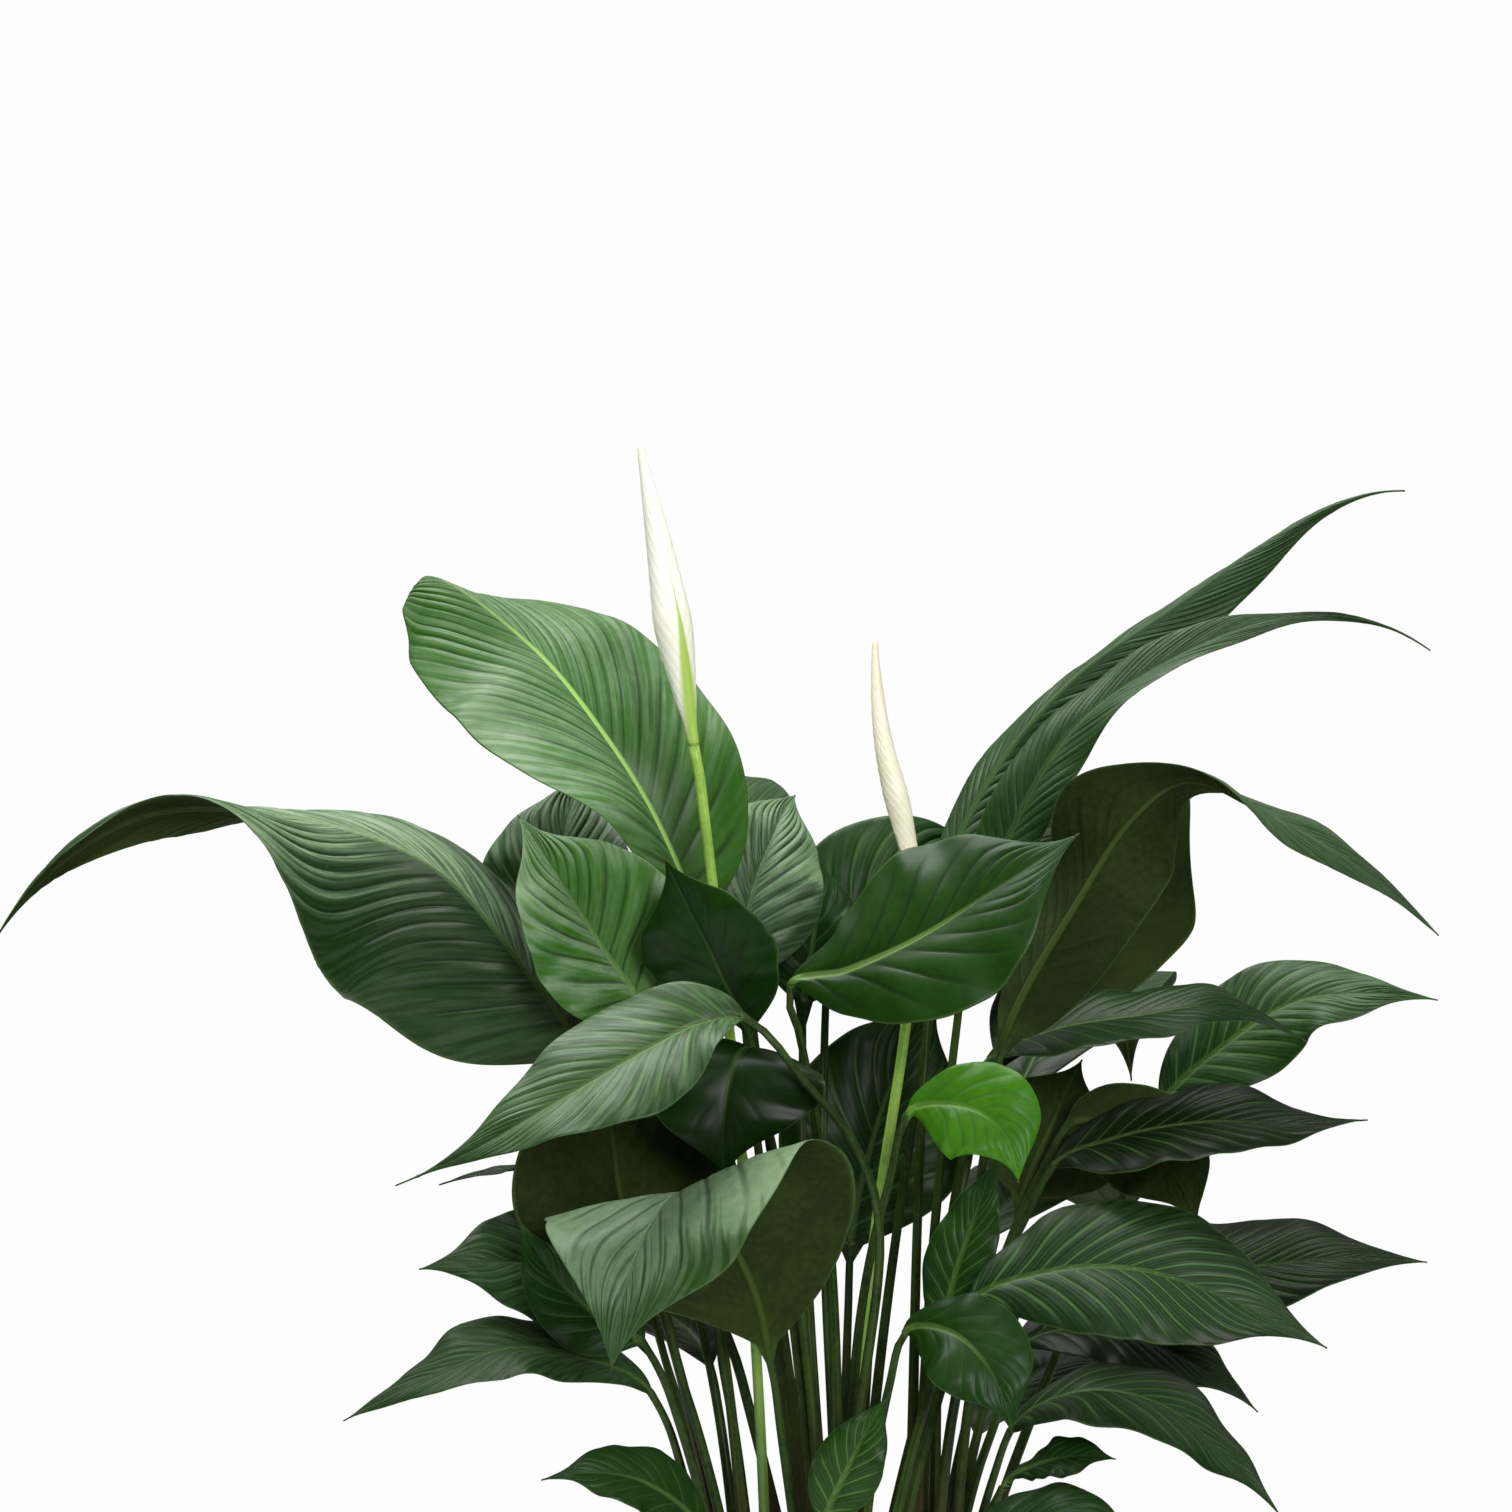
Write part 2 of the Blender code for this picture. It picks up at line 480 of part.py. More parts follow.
def turned(name, profile, material):
    """A solid of revolution about +Z from a profile of (radius, height) that runs down its outer side."""
    mesh = bpy.data.meshes.new(name)
    mesh.from_pydata([(r, 0, z) for r, z in profile], [(i, i + 1) for i in range(len(profile) - 1)], [])
    made = add(name, mesh, material)
    screw = made.modifiers.new("turn", "SCREW")
    screw.steps = screw.render_steps = TURN_STEPS
    screw.use_merge_vertices = True
    screw.merge_threshold = 0.0001
    return made


def pot_radius(z):
    """The pot's outer radius at a height, under its rim."""
    return POT_BASE_RADIUS + (POT_TOP_RADIUS - POT_BASE_RADIUS) * z / POT_HEIGHT


def cut(target, cutter):
    cutter.hide_render = True
    cutter.display_type = "WIRE"
    boolean = target.modifiers.new("cut", "BOOLEAN")
    boolean.operation = "DIFFERENCE"
    boolean.object = cutter


def cylinder(name, radius, low, high, x, y, segments=24):
    bpy.ops.mesh.primitive_cylinder_add(
        vertices=segments, radius=radius, depth=high - low, location=(x, y, (low + high) / 2)
    )
    made = bpy.context.object
    made.name = name
    for held in made.users_collection:
        held.objects.unlink(made)
    return made


def make_pot(material):
    inner_floor = pot_radius(POT_FLOOR) - POT_WALL
    rim_low = POT_HEIGHT - RIM_HEIGHT
    profile = [(0, POT_FLOOR), (inner_floor, POT_FLOOR)]
    profile += [(pot_radius(POT_HEIGHT) - POT_WALL, POT_HEIGHT - RIM_ROUND)]
    profile += [(pot_radius(POT_HEIGHT) - POT_WALL + RIM_ROUND, POT_HEIGHT)]
    profile += [(POT_TOP_RADIUS + RIM_PROUD - RIM_ROUND, POT_HEIGHT)]
    profile += [(POT_TOP_RADIUS + RIM_PROUD, POT_HEIGHT - RIM_ROUND)]
    profile += [(pot_radius(rim_low) + RIM_PROUD, rim_low + RIM_ROUND)]
    profile += [(pot_radius(rim_low) + RIM_PROUD - RIM_ROUND, rim_low)]
    profile += [(pot_radius(rim_low), rim_low)]
    profile += [(POT_BASE_RADIUS, RIM_ROUND), (POT_BASE_RADIUS - RIM_ROUND, 0), (0, 0)]
    pot = turned("pot", profile, material)
    for k in range(HOLE_COUNT):
        angle = math.tau * k / HOLE_COUNT
        spot = HOLE_RING * math.cos(angle), HOLE_RING * math.sin(angle)
        hole = cylinder(f"drain_cutter_{k + 1}", HOLE_RADIUS, -POT_FLOOR, 2 * POT_FLOOR, *spot, segments=16)
        CUTTERS.objects.link(hole)
        cut(pot, hole)


def make_soil(material):
    floor = POT_FLOOR + FIT_GAP
    profile = [(0, SOIL_LEVEL + SOIL_DOME)]
    profile += [(0.5 * POT_TOP_RADIUS, SOIL_LEVEL + 0.8 * SOIL_DOME)]
    profile += [(pot_radius(SOIL_LEVEL) - POT_WALL - FIT_GAP, SOIL_LEVEL)]
    profile += [(pot_radius(floor) - POT_WALL - FIT_GAP, floor), (0, floor)]
    soil = turned("soil", profile, material)
    for name, (x, y) in CROWNS.items():
        spot = x * CROWN_SPREAD, y * CROWN_SPREAD
        socket = cylinder(
            f"socket_cutter_{name}",
            CROWN_RADIUS + FIT_GAP,
            SOIL_LEVEL - CROWN_IN_SOIL - FIT_GAP,
            SOIL_LEVEL + CROWN_ABOVE_SOIL,
            *spot,
        )
        CUTTERS.objects.link(socket)
        cut(soil, socket)


def make_crown(name, centre, material):
    x, y = centre[0] * CROWN_SPREAD, centre[1] * CROWN_SPREAD
    crown = cylinder(f"crown_{name}", CROWN_RADIUS, SOIL_LEVEL - CROWN_IN_SOIL, CROWN_TOP, x, y)
    PARTS.objects.link(crown)
    crown.data.materials.append(material)
    bevel = crown.modifiers.new("rounded", "BEVEL")
    bevel.width = CROWN_ROUND
    bevel.segments = 1
    bevel.limit_method = "ANGLE"


def flower_axis(flower):
    """(points, tangents) of the spathe's middle line, which carries on from its stalk."""
    stalk = [place(p) for p in flower["path"]]
    along = unit(stalk[-1] - stalk[-2])
    points = [stalk[-1] + FIT_GAP * along, *(place(p) for p in flower["axis"])]
    tangents = chord_tangents(points)
    tangents[0] = along
    return points, tangents


def spathe_inner_radius(t, flower):
    """The furled spathe's inner radius at t of its length: close round its stalk, full, then drawn out."""
    full = flower["width"] * CM / 2 - SPATHE_WALL - SPATHE_LAP * SPATHE_TURNS
    foot = SCAPE_RADIUS - SPATHE_WALL
    if t < SPATHE_FULL_AT:
        grown = t / SPATHE_FULL_AT
        return foot + (full - foot) * grown * grown * (3 - 2 * grown)
    return SPATHE_TIP_RADIUS + (full - SPATHE_TIP_RADIUS) * (1 - (t - SPATHE_FULL_AT) / (1 - SPATHE_FULL_AT)) ** 0.9


def spathe_sections(flower):
    """Outlines of a sheet that is rolled a little over one turn, so that its edge laps over itself."""
    points, tangents = flower_axis(flower)
    steps = round(SPATHE_TURNS * SPATHE_AROUND)
    sections = []
    for i in range(SPATHE_STEPS + 1):
        t = i / SPATHE_STEPS
        centre, along = along_curve(points, tangents, t)
        up = across(np.array([0, -1.0, 0]), along)
        side = np.cross(along, up)
        inner = spathe_inner_radius(t, flower)
        fine = 1 - 0.45 * t
        outer_side, inner_side = [], []
        for k in range(steps + 1):
            angle = math.tau * k / SPATHE_AROUND
            out = math.cos(angle) * side + math.sin(angle) * up
            radius = inner + SPATHE_LAP * fine * k / SPATHE_AROUND
            inner_side.append(centre + out * radius)
            outer_side.append(centre + out * (radius + SPATHE_WALL * fine))
        sections.append(outer_side + inner_side[::-1])
    return sections


def spadix_sections(flower):
    points, tangents = flower_axis(flower)
    low = SPADIX_START
    marks = [(low, 0.6), (low + 0.02, 0.85), (0.3, 1), (0.5, 0.9), (0.56, 0.7), (0.58, 0.35)]
    thick = flower["spadix"] * CM / 2
    return round_sections(points, tangents, [(t, thick * part) for t, part in marks], (0, -1, 0))


FLOWERS = {
    "left": dict(
        crown="left",
        path=[(-4.6, -1, 24), (-5.9, -2.3, 37), (-7.3, -3, 47.5)],
        axis=[(-8.1, -3.2, 52.3), (-9, -3.3, 57.5), (-9.95, -3.3, 62.3)],
        width=2.1,
        spadix=0.7,
    ),
    "right": dict(
        crown="back",
        path=[(1.8, 3, 24), (3.7, 0.5, 34), (3.75, -0.8, 39.5)],
        axis=[(3.1, -1.3, 43.5), (2.1, -1.4, 48), (1.75, -1.4, 52.6)],
        width=1.35,
        spadix=0.44,
    ),
}


def main():
    materials = {
        "pot": finish("terracotta", (0.55, 0.27, 0.16), 0.8),
        "soil": finish("soil", (0.06, 0.04, 0.03), 0.95),
        "crown": finish("crown", (0.16, 0.17, 0.06), 0.7),
        "leaf": finish("leaf", (0.03, 0.12, 0.025), 0.35),
        "scape": finish("scape", (0.25, 0.42, 0.08), 0.4),
        "spathe": finish("spathe", (0.85, 0.85, 0.68), 0.5),
        "spadix": finish("spadix", (0.75, 0.72, 0.4), 0.7),
    }
    make_pot(materials["pot"])
    make_soil(materials["soil"])
    for name, centre in CROWNS.items():
        make_crown(name, centre, materials["crown"])
    curves = stalks()
    for name, plan in LEAVES.items():
        loft(name, leaf_sections(curves[name], plan), materials["leaf"])
    for name, flower in FLOWERS.items():
        marks = [(i / SCAPE_STEPS, SCAPE_RADIUS) for i in range(SCAPE_STEPS + 1)]
        stalk = round_sections(*curves[f"scape_{name}"], marks, (0, -1, 0))
        loft(f"scape_{name}", stalk, materials["scape"])
        loft(f"spathe_{name}", spathe_sections(flower), materials["spathe"])
        loft(f"spadix_{name}", spadix_sections(flower), materials["spadix"])


for old in list(bpy.data.objects):
    bpy.data.objects.remove(old)
PARTS = bpy.data.collections.new("potted_peace_lily")
CUTTERS = bpy.data.collections.new("cutters")
bpy.context.scene.collection.children.link(PARTS)
bpy.context.scene.collection.children.link(CUTTERS)
main()
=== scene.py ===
# %% [markdown]
# # A potted peace lily
#
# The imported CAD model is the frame: it says where the pot, the soil, the crowns, every leaf and both
# flowers stand. This lesson makes each of them again with the detail that a real plant shows, and
# keeps each new piece where its plain CAD twin is.

# %% Load the frame
import math

import bmesh
import bpy
import numpy as np
from mathutils import Matrix, Vector, noise


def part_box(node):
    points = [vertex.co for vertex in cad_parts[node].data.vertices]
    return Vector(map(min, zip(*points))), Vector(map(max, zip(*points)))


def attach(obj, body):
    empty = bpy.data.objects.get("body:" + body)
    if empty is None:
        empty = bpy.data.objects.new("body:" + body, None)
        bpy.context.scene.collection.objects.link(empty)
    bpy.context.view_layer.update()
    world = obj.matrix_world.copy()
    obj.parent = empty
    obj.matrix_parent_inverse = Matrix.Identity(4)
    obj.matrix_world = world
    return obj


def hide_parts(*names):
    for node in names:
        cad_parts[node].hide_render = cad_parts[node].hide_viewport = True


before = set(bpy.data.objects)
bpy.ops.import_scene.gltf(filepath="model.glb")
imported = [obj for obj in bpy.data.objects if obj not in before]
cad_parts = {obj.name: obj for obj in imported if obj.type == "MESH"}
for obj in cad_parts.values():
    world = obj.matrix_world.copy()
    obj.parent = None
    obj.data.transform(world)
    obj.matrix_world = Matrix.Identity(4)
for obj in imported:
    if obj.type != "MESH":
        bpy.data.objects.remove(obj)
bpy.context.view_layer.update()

# %% [markdown]
# ## Sizes that the whole plant shares
#
# The pot and the soil line come from the CAD boxes. The other sizes are those of the living plant: how
# thick a stalk is at its foot and at its blade, and how thin the blade is. A blade could be a flat
# sheet with a Solidify modifier, but a leaf has a fat rib beneath and fine veins, so its thickness is
# worked out point by point.

# %% Shared sizes
CM = 0.01
POT_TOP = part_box("pot")[1].z
CROWN_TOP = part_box("crown_left")[1].z
CROWN_ABOVE_SOIL = 0.010
SOIL_LEVEL = CROWN_TOP - CROWN_ABOVE_SOIL
CROWN_RADIUS = 0.021
CROWN_SPREAD = 0.040
CROWN_ROUND = 0.002
FIT_GAP = 0.0004
STALK_FOOT_RADIUS = 0.0031
STALK_TOP_RADIUS = 0.0019
BLADE_THICKNESS = 0.0005
TIP_HALF_WIDTH = 0.0005
SCAPE_RADIUS = 0.0026
CROWNS = {"left": (-1, 0), "right": (1, 0), "front": (0, -1), "back": (0, 1)}
UP = (0, 0, 1)
print("soil line", round(SOIL_LEVEL, 3), "pot top", round(POT_TOP, 3))

# %% [markdown]
# ## The leaf plan
#
# Each leaf of the real plant is one grown piece: a long stalk that widens into a blade. The plan lists,
# for each, the crown that it grows from, the line of its midrib and where its upper side looks, in
# centimetres from the middle of the soil. It is the same plan as the CAD model's, so each fine leaf
# lies on its plain twin. Drawing the leaves one by one from life beats scattering copies, because each
# one bends in its own way.

# %% Plan the leaves
LEAVES = {}


def leaf(name, crown, width, rib, face=(UP,), cup=(14,), arch=0.2, belly=0.4, draw=1.35,
         wave=0, waves=2, via=()):
    """Adds a leaf to the plan, in centimetres and degrees.

    rib runs from the blade's base to its tip, and face is where the upper side looks, base to tip. cup
    lifts each half from the midrib, and arch bends its margin down again. The blade is widest at belly
    of its length, and a greater draw gives it a longer tip. The margin has this many waves. The stalk
    passes through via.
    """
    LEAVES["leaf_" + name] = dict(crown=crown, width=width, rib=rib, face=face, cup=cup, arch=arch,
                                  belly=belly, draw=draw, wave=wave, waves=waves, via=via)


print("a leaf starts from", len(leaf.__defaults__), "usual values, and its own replace them")

# %% [markdown]
# The left side has the broad leaf that stands highest, the long arching one, and a fan of smaller ones
# below them. The list goes from top to bottom.

# %% Plan the left side
leaf("upper_left_broad", "back", 13.6, belly=0.33, draw=1.15, cup=(38, 32, 4, -42, -30), wave=0.3,
     rib=[(-7.4, 1, 38.8), (-9.2, 0.6, 43.5), (-11.8, 0.8, 47.8), (-15.4, 2, 52.2),
          (-20.7, 4.2, 55.8), (-20.4, 9.5, 52.8)],
     face=[(0.65, -0.7, 0.45), (0.6, -0.7, 0.45), (0.4, -0.75, 0.5), (0, -0.5, 0.8), (-0.3, 0.2, 0.9)])
leaf("left_long_arch", "left", 14, belly=0.29, cup=(-20, -40, -30, 5, 10, 10), wave=0.4, waves=2,
     rib=[(-12.9, -3, 32), (-15.6, -4.3, 36.4), (-20.3, -5.5, 41.6), (-27.4, -6, 44),
          (-35, -6, 43.7), (-42, -5, 37.5)],
     face=[(0.4, -0.9, 0.3), (0.4, -0.9, 0.4), (0.1, -0.7, 0.7), (0.1, 0.1, 1),
           (-0.3, 0.35, 0.95), (-0.4, 0.5, 0.7)])
leaf("left_behind", "back", 9.4,
     rib=[(-12.2, 6, 33.2), (-14, 7, 38.2), (-14, 8, 42.6), (-12.4, 11, 46)],
     face=[(-0.3, -1, 0.1)])
leaf("centre_left_glossy", "left", 9.8, cup=(25, 28, 20), arch=0.15, belly=0.42,
     rib=[(-9.4, -3.4, 33.6), (-11.8, -4.5, 37.4), (-14, -5.2, 41), (-16, -4.5, 44)],
     face=[(0.4, -0.9, 0.2), (0.2, -0.8, 0.3)])
leaf("centre_dark", "front", 7.8, cup=(16,), belly=0.5,
     rib=[(-4.5, -4.5, 33), (-6, -6.5, 36.5), (-7.6, -7.5, 39.8), (-8.7, -7.5, 42)],
     face=[(-0.5, -0.9, -0.1)])
leaf("front_left_sweep", "front", 7.4, cup=(40, 12, 12, 20, 30), belly=0.3, draw=2, wave=0.3,
     rib=[(-4.7, -10.2, 34.2), (-6.8, -10.8, 34.1), (-9.4, -11.6, 32.9), (-12.4, -12.5, 31.2),
          (-15.2, -13, 29.6), (-18, -13, 28), (-21.7, -13, 26.3)],
     face=[(0, -0.7, 0.8), (0, -0.7, 0.8), (0.1, -0.9, 0.5)], via=[(1.5, -6.3, 18), (4, -9.5, 28)])
leaf("centre_hanging", "front", 9.6, cup=(8,),
     rib=[(-4.1, -5.2, 32), (-5, -7.6, 32.4), (-5.6, -8.6, 30.6), (-5.7, -8.3, 26.2)],
     face=[(0, -0.4, 1), (0, -1, 0.1)])
leaf("front_folded", "front", 15.8, cup=(8,), arch=0.1, belly=0.46,
     rib=[(-3.6, -5, 17.4), (-4.7, -6.5, 21.6), (-7.5, -9, 25.7), (-9.4, -12, 24.2), (-11.2, -13.4, 17.4)],
     face=[(0, 1, 0.3), (-0.3, 0.1, 1), (0, -1, 0.2)])
leaf("left_shaded", "left", 11, cup=(12,),
     rib=[(-8.8, -2.5, 19.5), (-10.8, -4, 24.5), (-11.5, -4.7, 29.5), (-12.8, -4, 34.3)],
     face=[(0.1, 1, 0.3)])
leaf("left_narrow_drop", "left", 4.6,
     rib=[(-9.8, -3, 17.6), (-12.4, -3.6, 19.3), (-14.6, -4, 21.6), (-16, -4, 24)],
     face=[(-0.3, -1, 0.4)])
leaf("left_hidden_tip", "left", 5.5,
     rib=[(-8.5, 4, 23), (-13, 4, 25.8), (-17, 3, 25.8), (-20.2, 2.5, 25.1)])
leaf("left_mid", "left", 8, cup=(10,),
     rib=[(-9.5, 1, 18.6), (-13, 0, 20.9), (-17, -1.5, 21.6), (-21, -2.5, 21.3)],
     face=[(0, -0.8, 0.7)])
leaf("left_low_long", "left", 5.8, wave=0.2,
     rib=[(-9.4, -2, 15), (-13, -3, 17), (-16.5, -4, 17.5), (-20, -5, 16.3), (-24.6, -6, 14.1)],
     face=[(0, -0.5, 1)])
leaf("left_lowest", "left", 4.6,
     rib=[(-6.8, -4, 8.2), (-9.5, -5.5, 10.9), (-12, -6.5, 11.6), (-14.8, -7, 11.3)],
     face=[(0.1, -0.7, 0.7)])
print("leaves planned on the left:", len(LEAVES))

# %% [markdown]
# The right side leans out further. Two narrow leaves rise steeply from it, a third rises and droops, and
# the lower ones lie almost level, one above another.

# %% Plan the right side
leaf("centre_right_bright", "front", 9.5, cup=(12,), arch=0.25, belly=0.5, wave=0.2, waves=3,
     rib=[(-2.6, -7.2, 35.6), (0.2, -8.5, 36.5), (3.8, -9.5, 38.2), (7.8, -10, 40.8), (11.6, -10, 43.3)],
     face=[(-0.3, -1, 0.4), (-0.5, -1, 0.5)], via=[(-1.2, -6.3, 31)])
leaf("right_top", "right", 4.8, cup=(10, -25, -40, -40, -25), arch=0.1, wave=0.3, waves=2,
     rib=[(4.8, 2.6, 38.5), (6.9, 4, 44.4), (11.6, 5, 50.4), (17.4, 6, 54.5), (22.4, 7, 57.9),
          (26, 7.5, 59.7), (28.9, 7.5, 60.1)],
     face=[(-0.8, -0.6, 0.2), (-0.5, -0.8, 0.4), (-0.3, -0.6, 0.7), (-0.2, -0.5, 0.85)])
leaf("right_second", "right", 3.8, belly=0.25, draw=1.3, cup=(12, 15, 20, 15, 10), wave=0.3,
     rib=[(6.5, 0, 37.7), (8.5, -0.3, 42.9), (11.7, 0, 48.2), (16.5, 0.6, 51.6), (21.8, 1, 53.6),
          (26.2, 1.4, 53.6), (29.7, 1.7, 52)],
     face=[(-0.4, -0.9, 0.2), (-0.4, -0.7, 0.5), (-0.1, -0.5, 0.8), (0, -0.5, 0.8)])
leaf("right_drooping", "right", 8, cup=(50, 50, 5, 12, 10), belly=0.3, draw=1, wave=0.2,
     rib=[(8.1, -4.8, 33), (11.7, -5.6, 39.8), (14.5, -5.8, 44), (17, -5.8, 45.7), (20.2, -6, 44.5),
          (24.6, -6.5, 42.1), (29.4, -7, 38.1)],
     face=[(0.4, 0.9, -0.1), (0.5, 0.85, 0.1), (0.1, 0.3, 0.95), (0.3, -0.4, 0.85), (0.5, -0.6, 0.6)],
     via=[(7.2, -4.6, 28.6)])
leaf("right_shadowed", "right", 9, cup=(8,), belly=0.66, draw=0.9,
     rib=[(7.2, 5, 29.5), (10.7, 5.2, 34.5), (14.3, 5.6, 39.8), (17.8, 6.5, 44.8)],
     face=[(-0.3, 1, 0.3)])
leaf("right_glossy", "right", 6, cup=(12,),
     rib=[(7.2, -0.5, 31.2), (10.5, -2.5, 33.2), (14.5, -4, 34), (18.7, -5, 34.5), (23, -5.5, 32.8)],
     face=[(0, -0.5, 1)])
leaf("right_far", "right", 5.8, cup=(10,),
     rib=[(16.2, 2.2, 29.2), (19.3, 1.5, 32.2), (23, 1, 34.5), (26.5, 0, 34.9), (29.9, -0.5, 34.6)],
     face=[(0.3, -0.8, 0.7)], via=[(12.5, 5.5, 20)])
leaf("right_mid", "front", 7.2, cup=(12,), wave=0.2,
     rib=[(10.5, -3, 26.4), (13.5, -4, 27.9), (17.8, -5, 28.8), (22, -5.5, 28.8), (26, -6, 29)],
     face=[(0, -0.5, 0.9)])
leaf("right_under", "right", 6,
     rib=[(11.5, 0.2, 28.3), (14.5, 0, 27.8), (16.8, -0.4, 25.8), (17.8, -0.6, 23.1)],
     face=[(-0.2, 0.9, 0.4)])
leaf("right_broad", "front", 8.2, cup=(10,), belly=0.45,
     rib=[(6.2, -6.4, 19.8), (10, -7.4, 21.6), (14.5, -8, 21.8), (19.2, -8.7, 20.3), (23.8, -9, 18)],
     face=[(0.05, -0.85, 0.6)])
leaf("right_behind_broad", "right", 7, cup=(10,), belly=0.5,
     rib=[(10, 3, 20.5), (15, 1, 21.3), (19.5, -0.5, 21.2), (24.5, -2, 21.8), (29.2, -3, 21.7)],
     face=[(0, -0.7, 0.8)])
leaf("right_pointed", "right", 5.5,
     rib=[(9, 1, 17), (13, 1, 18), (17, 0, 16.8), (20.9, -1, 14)],
     face=[(0, -0.6, 0.8)])
leaf("right_low_arch", "right", 8, cup=(10,),
     rib=[(8.4, -3, 13.2), (11.8, -4.5, 15.4), (15.6, -6, 15), (19, -6.5, 12.5), (21.8, -7, 9.3)],
     face=[(0.1, -0.4, 1), (0.5, -0.4, 0.9)])
leaf("right_low_small", "right", 2.8, belly=0.6,
     rib=[(8, -4, 10.5), (10.5, -6, 12.2), (13.5, -7.5, 12.4)],
     face=[(0, -0.7, 0.7)])
leaf("right_lowest", "front", 5.5,
     rib=[(5.6, -6, 6.5), (8.5, -7.6, 9), (12, -9.5, 9.4), (15, -11, 7.4)],
     face=[(0, -0.6, 0.8)])
print("leaves planned on the left and right:", len(LEAVES))

# %% [markdown]
# In the middle stand the youngest leaves, short and bright. Behind them are upright leaves of which only
# the tops show from the front, and then the leaves that fill the clump's far side.

# %% Plan the middle and the back
leaf("centre_young", "front", 5.6, cup=(10,), belly=0.5,
     rib=[(3.2, -6.5, 29.2), (5.4, -8, 29.9), (7.7, -9.5, 28.9), (8.6, -10, 26.2)],
     face=[(0, -1, 0.4)])
leaf("front_right_small", "front", 5.4, cup=(10,), belly=0.5,
     rib=[(3, -7, 18.4), (5.1, -9, 18.9), (7.1, -10.5, 17.3), (8.3, -11, 14)],
     face=[(0, -1, 0.4)])
leaf("right_narrow", "front", 3.6,
     rib=[(5, -4.4, 18), (5.6, -4.7, 21), (6.6, -4.8, 24), (8, -4.6, 27.5)],
     face=[(-0.3, -1, 0.1)])
leaf("front_low_young", "front", 3.6,
     rib=[(-0.8, -8.5, 9.4), (0.2, -9.5, 12), (1.2, -10, 14), (2.4, -10, 16)],
     face=[(0, -1, 0.1)])
leaf("centre_back_grey", "back", 7.5,
     rib=[(-5, 3, 35), (-4.5, 3, 39.5), (-3.2, 4.5, 43), (-2.2, 7.5, 44.6)],
     face=[(0.1, -1, 0.1)])
leaf("centre_back_small", "back", 5.5,
     rib=[(-1.8, 5.5, 34), (-1.2, 6, 38), (-1, 7, 41.8)],
     face=[(0, -1, 0.1)])
leaf("centre_back_right", "back", 8,
     rib=[(-0.6, 6.5, 35), (1.4, 8.5, 39), (4.5, 9.8, 41), (8.5, 11.5, 41)],
     face=[(0, -1, 0.3)])
leaf("right_back_tip", "back", 5.5,
     rib=[(5, 5, 35), (7.8, 6, 40.5), (11, 7.5, 43), (14.5, 9, 42)],
     face=[(0, -0.6, 0.8)])
leaf("right_inner", "right", 8,
     rib=[(9.2, 1.6, 24.5), (10.6, 1.8, 28), (12.2, 1.8, 31.5)],
     face=[(0.2, 1, 0.2)])
leaf("back_high", "back", 10,
     rib=[(-4.5, 8, 34), (-6, 12, 41), (-7.5, 17.5, 44.5), (-8.5, 24, 44), (-9.5, 31, 39)],
     face=[(0, -0.4, 1), (0, 0.4, 1)])
leaf("back_left_high", "back", 9.5, wave=0.3,
     rib=[(-7.5, 8, 33), (-10.5, 12.5, 37.5), (-12.5, 18, 39), (-14.5, 25, 36.5), (-15.5, 31, 31)],
     face=[(0.1, -0.3, 1), (0, 0.5, 1)])
leaf("back_right_high", "back", 10,
     rib=[(3.5, 10.5, 34), (5.5, 15, 38), (7.5, 20, 39), (9, 26, 37.5), (10, 32, 32)],
     face=[(0, -0.3, 1), (0, 0.5, 1)])
leaf("back_right_upper", "back", 9, wave=0.3,
     rib=[(9, 8, 29), (11.5, 12.5, 33), (13.5, 18, 34.5), (15, 24.5, 33), (16, 30, 28.5)],
     face=[(0, -0.3, 1), (0, 0.5, 1)])
leaf("back_mid", "back", 10,
     rib=[(0.6, 6.5, 21.5), (1.6, 7.5, 26.5), (3.2, 8.4, 31), (5.4, 9.6, 34.6)],
     face=[(0.1, -1, 0.2)])
leaf("back_left_mid", "left", 8.5,
     rib=[(-7, 8, 24), (-9, 12.5, 27.2), (-11, 18, 28.2), (-13, 25, 26.5), (-14.5, 31, 22.5)],
     face=[(0, -0.3, 1), (0, 0.5, 1)])
leaf("back_right_mid", "back", 8.5,
     rib=[(7, 8, 21.5), (9.5, 12.5, 24), (12, 18, 24.5), (14, 24, 23), (15.5, 30, 19)],
     face=[(0, -0.3, 1), (0, 0.5, 1)])
leaf("back_left_low", "left", 6.5,
     rib=[(-6.5, 6, 15.5), (-9.5, 11, 18.2), (-12, 16, 18.6), (-14, 21, 17.6), (-15.5, 26, 15.8)],
     face=[(0, -0.3, 1), (0, 0.3, 1)])
leaf("back_right_low", "right", 7,
     rib=[(7, 6, 12), (10, 11, 14.6), (13, 16, 15), (15.5, 21.5, 13.4), (17, 27, 10.5)],
     face=[(0, -0.3, 1), (0, 0.4, 1)])

print("leaves planned:", len(LEAVES))

# %% [markdown]
# ## The two flowers
#
# Both flowers are still furled: a pale sheet, the spathe, is rolled round the spadix. The left one shows
# its back, with a green midrib that runs up out of its stalk. The right one shows its rolled edge.

